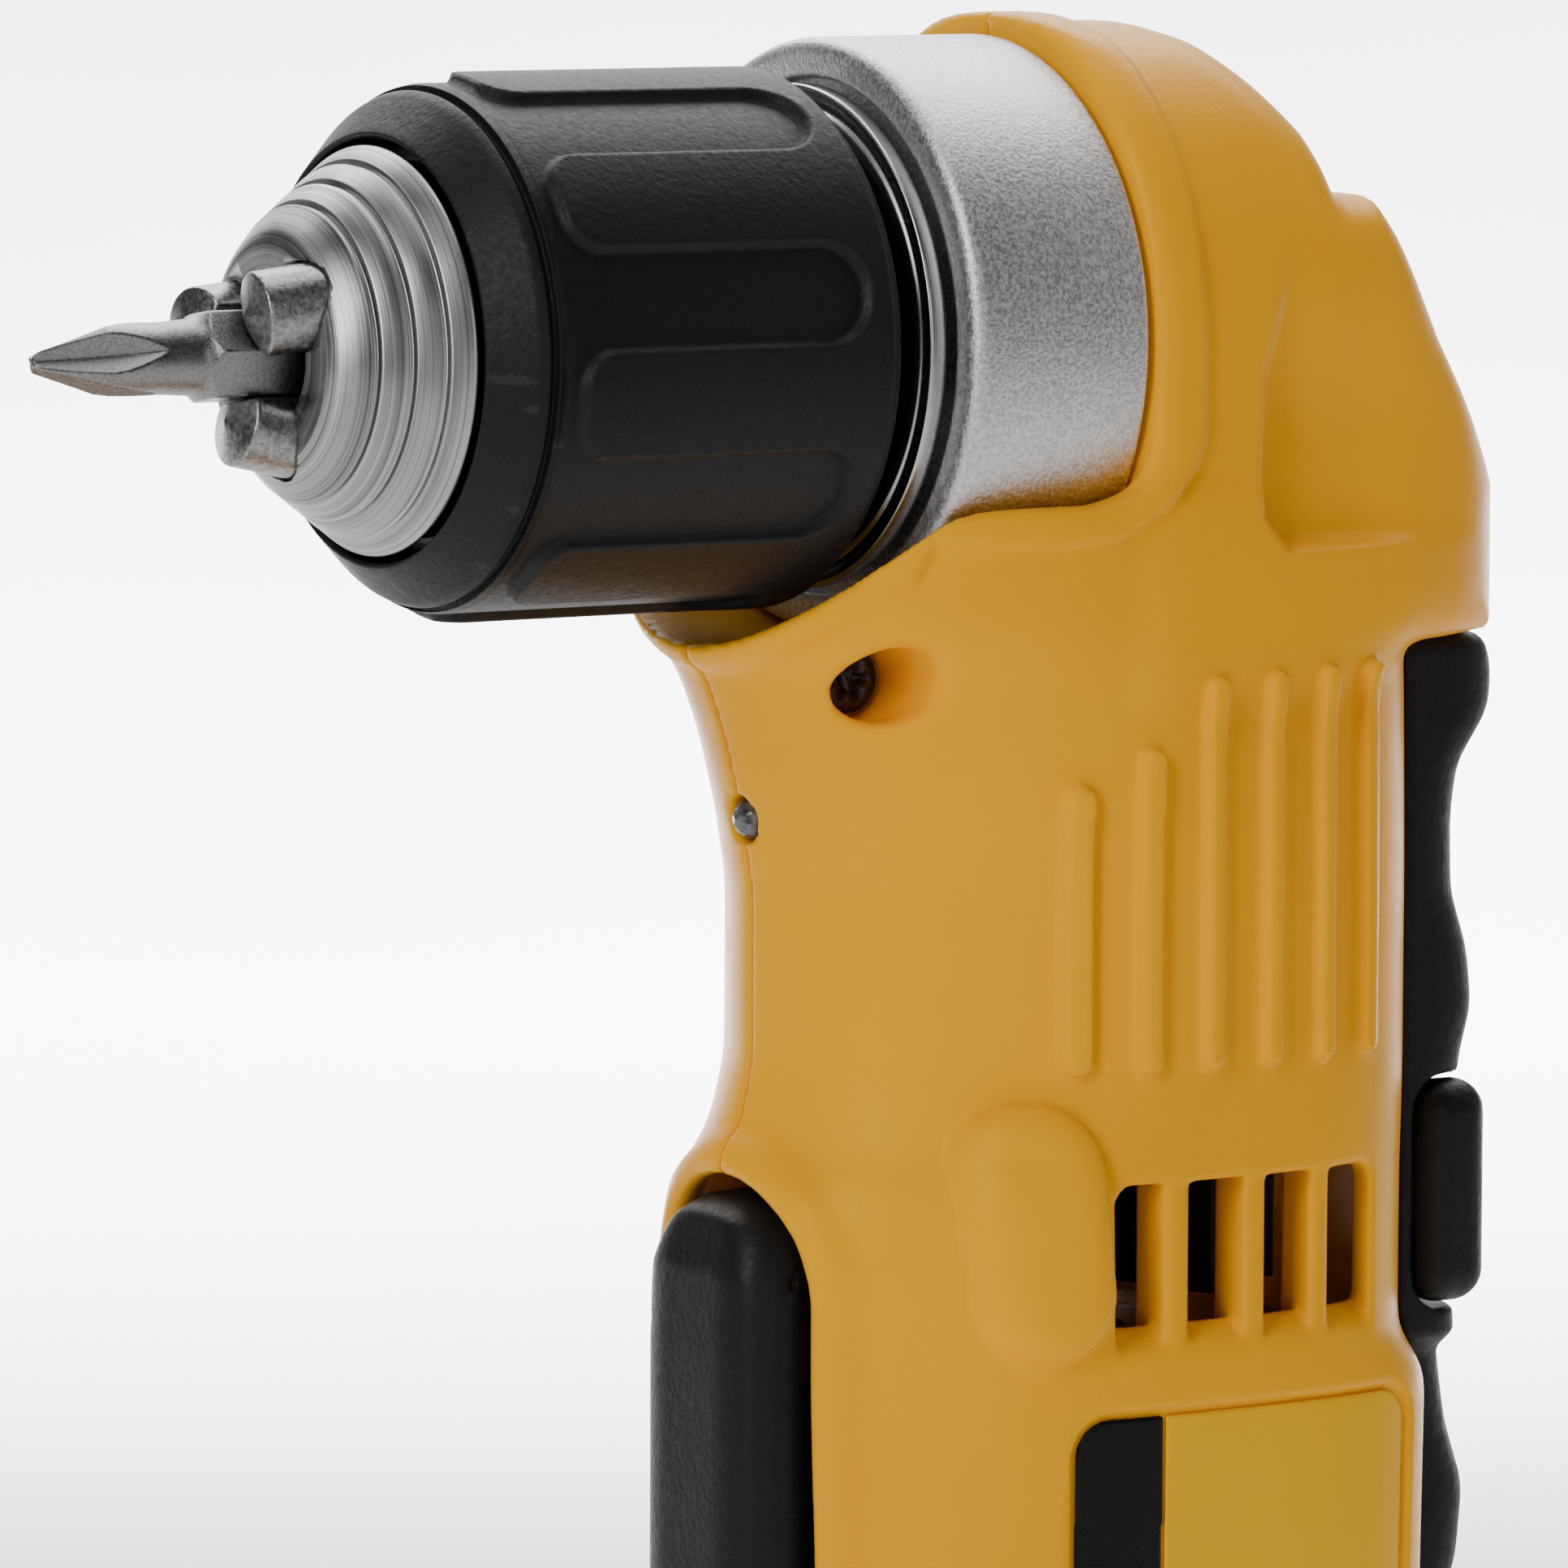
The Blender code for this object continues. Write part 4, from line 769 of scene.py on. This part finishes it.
def jaws():
    """Round jaws with blunt points, flat on the bit's side."""
    rows = x, y, z = grid((-63.5, -8.5, -1.5), (-35.0, 8.5, 16.0), 0.13)
    cos, sin = math.cos(JAW_TILT), math.sin(JAW_TILT)
    along = (x - JAW_X) * cos + (z - JAW_OUT) * sin
    across = (z - JAW_OUT) * cos - (x - JAW_X) * sin
    radius = np.hypot(y, across)
    form = smax(radius - 3.15, along - 23.5, 0.6)
    form = smax(form, 3.36 - z, 0.3)
    form = smax(form, (radius * 0.32 - (along - 1.85)) * 0.95, 0.2)
    for index in range(3):
        obj = skin(f"jaw_{index + 1}_steel", rows, form)
        swing(obj, index)
        finish_piece(obj, f"jaw_{index + 1}", JAW, (f"chuck_jaw_{index + 1}",))


def hexagon(y, z, turn):
    """Distance to a quarter-inch hexagon bar, its corners just broken."""
    flats = [np.abs(z * math.cos(t) - y * math.sin(t)) - 3.175
             for t in (turn, turn + math.pi / 3, turn + 2 * math.pi / 3)]
    return smax(np.maximum(np.maximum(flats[0], flats[1]), flats[2]), np.hypot(y, z) - 3.64, 0.08)


def bit():
    """Hexagon shank with coned ends, round neck, and a point with four grooves."""
    rows = x, y, z = grid((-75.3, -4.2, -4.2), (-48.9, 4.2, 4.2), 0.1)
    radius = np.hypot(y, z)
    shank = hexagon(y, z, CHUCK_TURN)
    shank = smax(shank, (radius - 2.75 - (x + 61.6) * 0.9) * 0.74, 0.12)
    shank = smax(shank, (radius - 3.2 + (x + 49.9)) * 0.7, 0.3)
    shank = smax(shank, x + 49.4, 0.3)
    shaft = np.interp(x.ravel(), [BIT_TIP, -74.4, -69.2, -68.0, -64.5, -61.0],
                      [0.7, 0.95, 2.66, 2.75, 2.62, 2.85])
    neck = (radius - shaft.astype(np.float32).reshape(x.shape)) * 0.95
    neck = smax(neck, x + 60.6, 0.3)
    neck = smax(neck, BIT_TIP + 0.05 - x, 0.5)
    form = smin(shank, neck, 0.4)
    run_out = x - BIT_TIP
    floor = 0.3 + 0.1 * run_out + 0.0125 * run_out ** 2
    for k in range(4):
        turn = CHUCK_TURN + math.radians(23) + k * math.pi / 2
        lift = z * math.cos(turn) - y * math.sin(turn)
        side = y * math.cos(turn) + z * math.sin(turn)
        form = carve(form, (floor + 0.62 * np.abs(side) - lift) * 0.8, 0.08)
    obj = skin("bit_forging", rows, form, centre=(COLLAR_X, 0, 0))
    finish_piece(obj, "bit", BLASTED, ("screwdriver_bit",))


# Pieces of the body, in the motor frame

def lamp():
    """Small ten-sided faceted dome."""
    profile = [(-31.3, 0.0), (-31.1, 0.7), (-30.6, 1.35), (-30.0, 1.62), (-25.0, 1.62),
               (-25.0, 0.0)]
    obj = turned("lamp_dome", profile, 10, (0, 0, LAMP_Z))
    obj.data.polygons.foreach_set("use_smooth", [False] * len(obj.data.polygons))
    finish_piece(obj, "tool_body", LENS, ("work_light",))


def screws():
    """Pan heads with six-lobed drives; each shank ends 8 mm past the parting plane."""
    head_radius, shank_radius = 2.6, 1.5
    for name, (x, z, face) in SCREWS.items():
        out = math.copysign(1.0, face)
        high = 1.5 if name == "nose_screw" else 2.0
        profile = rounded([(face + high * out, 0), (face + high * out, head_radius, 0.7),
                           (face, head_radius, 0.1), (face, shank_radius, 0.1),
                           (-out * 7.5, shank_radius, 0.2), (-out * 8, 1.0, 0.2),
                           (-out * 8, 0)], 0.3, 4)
        obj = turned(f"{name}_steel", profile, 40, (x, 0, z), "Y")
        lobes = [(1.25 + 0.3 * math.cos(6 * t), t)
                 for t in np.linspace(0, 2 * math.pi, 48, False)]
        outline = [(x + r * math.cos(t), z + r * math.sin(t)) for r, t in lobes]
        near, far = sorted((face + 0.5 * out, face + 4 * out))
        cut(obj, prism("drive", outline, near, far))
        finish_piece(obj, "tool_body", SCREW, (name,))


PADDLE_HALF = 9.0             # half widths of the paddle and of its hollow
PADDLE_HOLLOW = 8.1
PADDLE_SIDE = [
    (-28.4, -63.6), (-31.8, -64.0), (-34.0, -66.0), (-35.2, -70.0), (-35.4, -76.0),
    (-35.4, -112.0), (-34.4, -126.0), (-31.2, -138.0), (-26.8, -143.8), (-23.0, -145.0),
    (-16.0, -145.0), (-14.4, -142.5), (-14.4, -135.0), (-17.0, -133.0), (-26.6, -130.0),
    (-26.6, -63.6),
]


def paddle():
    """Long hollow lever with a rounded front, its pin's ears at the lower end."""
    rows = x, y, z = grid((-37.0, -12.0, -147.0), (-12.0, 12.0, -62.5), 0.4)
    side, flank = polygon(x, z, PADDLE_SIDE), np.abs(y) - PADDLE_HALF
    front = x < -27.5
    rim = smax(side, flank, 6.0)
    form = np.where(front, rim, smax(rim, smax(side, flank, 0.6), 0.5))
    form = smax(form, arch(y, z, -0.5), 3.0)
    hollow = block(x, y, z, (-34.5, -PADDLE_HOLLOW, -141.0), (-20.0, PADDLE_HOLLOW, -70.0))
    hollow = np.maximum(hollow, np.where(front, rim + 0.95, -9.0))
    form = carve(form, hollow, 0.3)
    form = carve(form, block(x, y, z, (-24.0, -PADDLE_HOLLOW, -150.0),
                             (-8.0, PADDLE_HOLLOW, -128.0)), 0.3)
    form = carve(form, np.hypot(x - PIVOT_X, z - PIVOT_Z) - 1.7)
    obj = skin("paddle_shell", rows, form)
    finish_piece(obj, "paddle", LEATHER, ("paddle_lever",))


# The grip plate's rear outline: z, x
GRIP_REAR = [
    (-23.6, 31.4), (-26.5, 32.4), (-30.0, 32.2), (-34.0, 29.2), (-38.0, 28.6), (-44.0, 28.7),
    (-48.5, 30.3), (-53.0, 30.8), (-57.0, 29.6), (-63.0, 29.2), (-76.0, 29.2), (-81.0, 29.6),
    (-86.0, 30.4), (-91.0, 32.2), (-97.0, 31.6), (-106.0, 27.6), (-112.0, 25.8),
]


def grip_plate():
    """Back plate with a thumb ledge, a slide's slot and a lower swell."""
    rows = x, y, z = grid((16.0, -18.0, -113.5), (34.0, 18.0, -22.0), 0.36)
    rear = run(z, GRIP_REAR, 1, 0.9)
    half_width = 10.8 + 2.4 * step(-80.4, -78.0, z)
    form = smax(x - rear, np.abs(y) - half_width, 6.0)
    form = smax(form, slab(x, z, (10.0, -112.0), (40.0, -23.9), 3.0), 1.5)
    form = smax(form, 20.6 - x, 0.2)
    housing_skin = smax(plan(x, y, z, BODY), x - 25.6, 0.6)
    form = smax(form, 0.3 - housing_skin, 0.2)
    slide_slot = block(x, y, z, (24.0, -5.6, -58.4), (40.0, 5.6, -40.6), 1.0)
    form = carve(form, slide_slot, 0.5)
    link_slot = block(x, y, z, (25.2, -30.0, -76.4), (40.0, 30.0, -61.4))
    pad_slots = np.maximum(slab(x, z, (22.9, -76.3), (30.3, -58.1), 3.0), 5.7 - np.abs(y))
    form = carve(form, np.minimum(link_slot, pad_slots), 0.5)
    grooves = np.abs((z + 27.5 + 80 * 2.2) % 2.2 - 1.1) - 0.45
    grooves = smax(smax(grooves, rear - 0.6 - x, 0.3), np.abs(z + 28.3) - 2.9, 0.3)
    form = carve(form, grooves, 0.4)
    obj = skin("grip_plate", rows, form)
    finish_piece(obj, "tool_body", RUBBER, ("rear_grip",))


def direction_pads():
    """A pad on each side, joined by a bar under the grip plate."""
    rows = x, y, z = grid((22.0, -15.4, -77.0), (31.0, 15.4, -57.5), 0.3)
    pad = block(x, np.abs(y), z, (23.3, 9.0, -75.9), (29.9, 14.4, -58.5), 2.6)
    link = block(x, y, z, (25.8, -12.0, -74.8), (28.6, 12.0, -62.0), 0.8)
    obj = skin("direction_pads", rows, smin(pad, link, 0.8))
    finish_piece(obj, "direction", LEATHER, ("direction_button",))


def speed_slide():
    """Thumb slide with a ridged swell."""
    rows = x, y, z = grid((23.8, -6.0, -58.5), (32.5, 6.0, -45.5), 0.25)
    middle = z + 52.1
    form = block(x, y, z, (24.4, -5.2, -57.6), (30.8, 5.2, -46.6), 1.4)
    swell = np.hypot(np.hypot(x - 27.0, middle * 0.62), y * 0.4) - 4.6
    swell = smax(swell, smax(np.abs(y) - 4.6, np.abs(middle) - 5.0, 0.8), 0.8)
    form = smin(form, swell, 0.8)
    grooves = np.abs((z + 200.3) % 1.8 - 0.9) - 0.35
    form = carve(form, smax(smax(grooves, 30.6 - x, 0.3), np.abs(y) - 3.6, 0.3), 0.3)
    obj = skin("speed_slide", rows, form)
    finish_piece(obj, "shift", LEATHER, ("speed_selector",))


def lower_grip():
    """Soft pad round the lower handle, with a band of grooves."""
    rows = x, y, z = grid((-28.0, -25.0, -197.0), (28.0, 25.0, -111.0), 0.45)
    base = plan(x, y, z, BODY)
    form = smax(base - 2.3, np.abs(z + 154.0) - 42.0, 2.0)      # 2.3 mm thick, 84 mm high
    front = [(-60.0, -100.0), (6.0, -100.0), (3.0, -130.0), (-4.0, -156.0), (-12.0, -172.0),
             (-15.5, -200.0), (-60.0, -200.0)]
    form = carve(form, polygon(x, z, front), 1.6)
    grooves = np.abs((z + 0.55 * x + 400.0) % 5.5 - 2.75) - 0.7
    region = slab(x, z, (4.0, -166.0), (40.0, -122.0), 4.0)
    form = carve(form, smax(smax(grooves, 1.5 - base, 0.4), region, 0.4), 0.7)
    form = smax(form, 0.3 - base, 0.2)
    screw_x, screw_z, _ = SCREWS["handle_screw"]
    form = carve(form, np.maximum(np.hypot(x - screw_x, z - screw_z) - 3.6, y), 0.6)
    obj = skin("handle_pad", rows, form)
    finish_piece(obj, "tool_body", RUBBER, ("handle_grip",))


# Battery: z is above its base

PACK_WALL = 2.6
PACK_FLOOR = (0, 0, -AXIS_Z)


def pack_plan(x, y, inset):
    """Distance to the battery's outline, drawn in by inset."""
    return slab(x, y, (-64.0 + inset, -37.0 + inset), (50.0 - inset, 37.0 - inset),
                9.0 - inset / 2)


def pack_base():
    """Open tray with upright grooves in its sides."""
    rows = x, y, z = grid((-65.0, -38.0, -1.0), (51.0, 38.0, 20.5), 0.6)
    form = smax(smax(pack_plan(x, y, 0.0), -z, 3.0), z - 19.35, 0.8)
    form = carve(form, np.maximum(pack_plan(x, y, PACK_WALL), PACK_WALL - z), 0.4)
    grooves = np.abs((x + 407.0) % 8.0 - 4.0) - 1.5
    grooves = smax(smax(grooves, -pack_plan(x, y, 1.1), 0.5), np.abs(z - 10.5) - 4.5, 0.6)
    form = carve(form, smax(grooves, np.abs(x + 7.0) - 36.0, 0.5), 0.6)
    obj = skin("pack_base", rows, form, centre=PACK_FLOOR)
    finish_piece(obj, "battery", BLACK, ("battery_base",))


def pack_cover():
    """Domed cover with the slide's rails, four blade slots and the button's pocket."""
    rows = x, y, z = grid((-65.0, -38.0, 18.5), (51.0, 38.0, 52.5), 0.6)
    shoulder = np.maximum(z - 32.0, 0) ** 2 * 0.09
    form = smax(pack_plan(x, y, 0.0) + shoulder * 0.95, z - 38.7, 1.6)
    form = smax(form, 19.65 - z, 0.8)
    hollow = np.maximum(pack_plan(x, y, PACK_WALL) + shoulder * 0.9, z - 35.0)
    form = carve(form, hollow, 0.5)
    rails = block(x, y, z, (-48.0, -21.2, 36.0), (28.0, 21.2, 46.5), 0.5)
    wings = block(x, y, z, (-48.0, -24.7, 45.7), (28.0, 24.7, 51.6), 0.7)
    form = smin(form, smin(rails, wings, 0.2), 0.8)
    for blade_y in (13.5, 4.5, -4.5, -13.5):
        slot = block(x, y, z, (12.0, blade_y - 0.8, 44.8), (35.0, blade_y + 0.8, 60.0))
        form = carve(form, slot)
    form = carve(form, block(x, y, z, (-61.4, -12.4, 28.0), (-54.2, 12.4, 60.0)), 0.6)
    seam = np.maximum(-pack_plan(x, y, 0.9), np.abs(z - 27.0) - 0.6)
    form = carve(form, seam, 0.5)
    obj = skin("pack_cover", rows, form, centre=PACK_FLOOR)
    finish_piece(obj, "battery", BLACK, ("battery_cover",))


def release_cap():
    """Button with finger grooves across its front."""
    rows = x, y, z = grid((-62.0, -13.0, 28.0), (-53.5, 13.0, 43.5), 0.3)
    side = polygon(x, z, [(-61.0, 29.0), (-54.6, 29.0), (-54.6, 41.0), (-56.0, 42.4),
                          (-60.0, 41.0), (-61.0, 38.6)])
    form = smax(side, np.abs(y) - 12.0, 1.2)
    grooves = np.abs((z + 0.6) % 2.2 - 1.1) - 0.45
    form = carve(form, smax(smax(grooves, x + 60.3, 0.3), np.abs(z - 34.0) - 3.6, 0.3), 0.4)
    obj = skin("release_cap", rows, form, centre=PACK_FLOOR)
    finish_piece(obj, "release", YELLOW, ("battery_release_button",))


def labels():
    """Smooth film in each side's recess: a dark band, then a yellow field."""
    rows = x, y, z = grid((-15.0, 12.0, -122.5), (18.6, 23.5, -79.8), 0.15)
    film = np.abs(outer_form(x, y, z) + 0.72) - 0.16
    (left, low), (right, high) = LABEL
    form = np.maximum(film, slab(x, z, (left + 0.5, low + 0.5), (right - 0.5, high - 0.5), 2.8))
    for side in ("left", "right"):
        band = skin(f"{side}_label_band", rows, np.maximum(form, x + 6.6), mirror=side == "left")
        finish_piece(band, "tool_body", FILM_DARK)
        field = skin(f"{side}_label_field", rows, np.maximum(form, -6.3 - x),
                     mirror=side == "left")
        finish_piece(field, "tool_body", FILM)


# Studio, in metres of the row

CAMERA_RIGHT = Vector((0.8341, -0.5517, 0.0033))
CAMERA_UP = Vector((0.053, 0.0861, 0.9949))
CAMERA_BACK = Vector((-0.5491, -0.8296, 0.1011))
CAMERA_PLACE = Vector((-0.46507, -0.66202, 0.32186))
CAMERA_LENS = 243.0
DRILL_MIDDLE = (0, 0, 0.23)
LIGHTS = [                    # name, place, target, size, power
    ("key", (-1.1, -0.45, 0.8), DRILL_MIDDLE, (0.4, 0.9), 8.5),
    ("front", (-0.35, -1.5, 0.5), DRILL_MIDDLE, (0.5, 0.9), 2.0),
    ("side", (1.3, -0.6, 0.7), DRILL_MIDDLE, (0.3, 1.2), 1.5),
    ("rim", (0.5, 1.3, 0.9), DRILL_MIDDLE, (1.2, 0.7), 3),
    ("top", (0.0, 0.0, 1.3), DRILL_MIDDLE, (0.6, 0.6), 3),
    ("sweep", (0.9, 1.2, 1.6), (3.0, 4.4, 0.3), (3.0, 2.0), 640),
    ("floor", (0.7, 1.2, 1.5), (0.9, 1.5, 0.0), (2.0, 2.0), 60),
]


def build_stage():
    """A pale floor that sweeps up behind the drill."""
    reach, rise, steps = 9.0, 6.0, 24
    rows = [(-3.0, 0.0), (2.0, 0.0)]
    for i in range(1, steps + 1):
        t = math.pi / 2 * i / steps
        rows.append((2.0 + rise * math.sin(t), rise * (1 - math.cos(t))))
    rows.append((2.0 + rise, 12.0))
    heading = math.radians(-33.5)           # the camera's, seen from above
    away = Vector((-math.sin(heading), math.cos(heading), 0))
    across = Vector((math.cos(heading), math.sin(heading), 0))
    points = [away * d + Vector((0, 0, h)) + across * s for d, h in rows for s in (-reach, reach)]
    faces = [(2 * i, 2 * i + 1, 2 * i + 3, 2 * i + 2) for i in range(len(rows) - 1)]
    floor = mesh_object("studio_sweep", points, faces)
    n = Nodes("studio_paper", roughness=0.9)
    n.colour(n.mix(n.ramp(n.noise(3.0, 2), 0.3, 0.7), (0.86, 0.86, 0.86), (0.9, 0.9, 0.9)))
    floor.data.materials.append(n.material)


def lights():
    """Soft area lights and a faint even sky."""
    for name, place, target, size, power in LIGHTS:
        light = bpy.data.lights.new(name, "AREA")
        light.shape = "RECTANGLE"
        light.size, light.size_y = size
        light.energy = power
        obj = add_object(name, light)
        obj.location = place
        aim = Vector(target) - Vector(place)
        obj.rotation_euler = aim.to_track_quat("-Z", "Y").to_euler()
    world = bpy.data.worlds.new("studio")
    bpy.context.scene.world = world
    world.use_nodes = True
    sky = world.node_tree.nodes["Background"]
    sky.inputs["Color"].default_value = (1, 1, 1, 1)
    sky.inputs["Strength"].default_value = 0.09


def camera():
    data = bpy.data.cameras.new("camera")
    data.lens, data.sensor_width, data.clip_end = CAMERA_LENS, 36.0, 60.0
    obj = add_object("camera", data)
    pose = Matrix((CAMERA_RIGHT, CAMERA_UP, CAMERA_BACK)).transposed().to_4x4()
    pose.translation = CAMERA_PLACE
    obj.matrix_world = pose
    bpy.context.scene.camera = obj


# CAD nodes, those that are replaced included

NODE_LOOKS = [
    (YELLOW, "left_housing", "right_housing", "battery_release_button"),
    (BLACK, "chuck_sleeve", "speed_selector", "motor_end_cap", "motor_fan", "switch_plunger",
     "switch_body", "terminal_block", "battery_base", "battery_cover"),
    (RUBBER, "direction_button", "rear_grip", "handle_grip"),
    (LEATHER, "paddle_lever"),
    (CAST, "gearcase_collar", "rear_bearing_holder", "gearbox_case"),
    (LATHED, "chuck_body", "chuck_jaw_1", "chuck_jaw_2", "chuck_jaw_3"),
    (POLISHED, "collar_ring", "spindle_front_bearing", "spindle_rear_bearing",
     "pinion_bearing"),
    (BLASTED, "screwdriver_bit"),
    (GEAR, "spindle", "bevel_gear", "bevel_pinion", "planet_carrier", "planet_gear_1",
     "planet_gear_2", "planet_gear_3", "sun_gear", "ring_gear", "shift_fork",
     "paddle_pivot_pin", "paddle_return_spring"),
    (SCREW, "chuck_rear_ring", "chuck_screw", "chuck_nut", *SCREWS),
    (MOTOR, "motor_can"),
    (MAGNET, "motor_magnet_1", "motor_magnet_2"),
    (COPPER, "motor_armature"),
    (LENS, "work_light"),
    (RED_LEAD, "power_lead_1"),
    (BLACK_LEAD, "power_lead_2"),
    (CELL, *(f"battery_cell_{i}" for i in range(1, 6))),
]


def dress_nodes():
    for material, *names in NODE_LOOKS:
        for name in names:
            mesh = frame["nodes"][name].data
            mesh.materials.clear()
            mesh.materials.append(material)


dress_nodes()
housing()
labels()
collar_casting()
collar_face_ring()
chuck_shield()
sleeve()
nose()
jaws()
bit()
lamp()
screws()
paddle()
grip_plate()
direction_pads()
speed_slide()
lower_grip()
pack_base()
pack_cover()
release_cap()
build_stage()
lights()
camera()
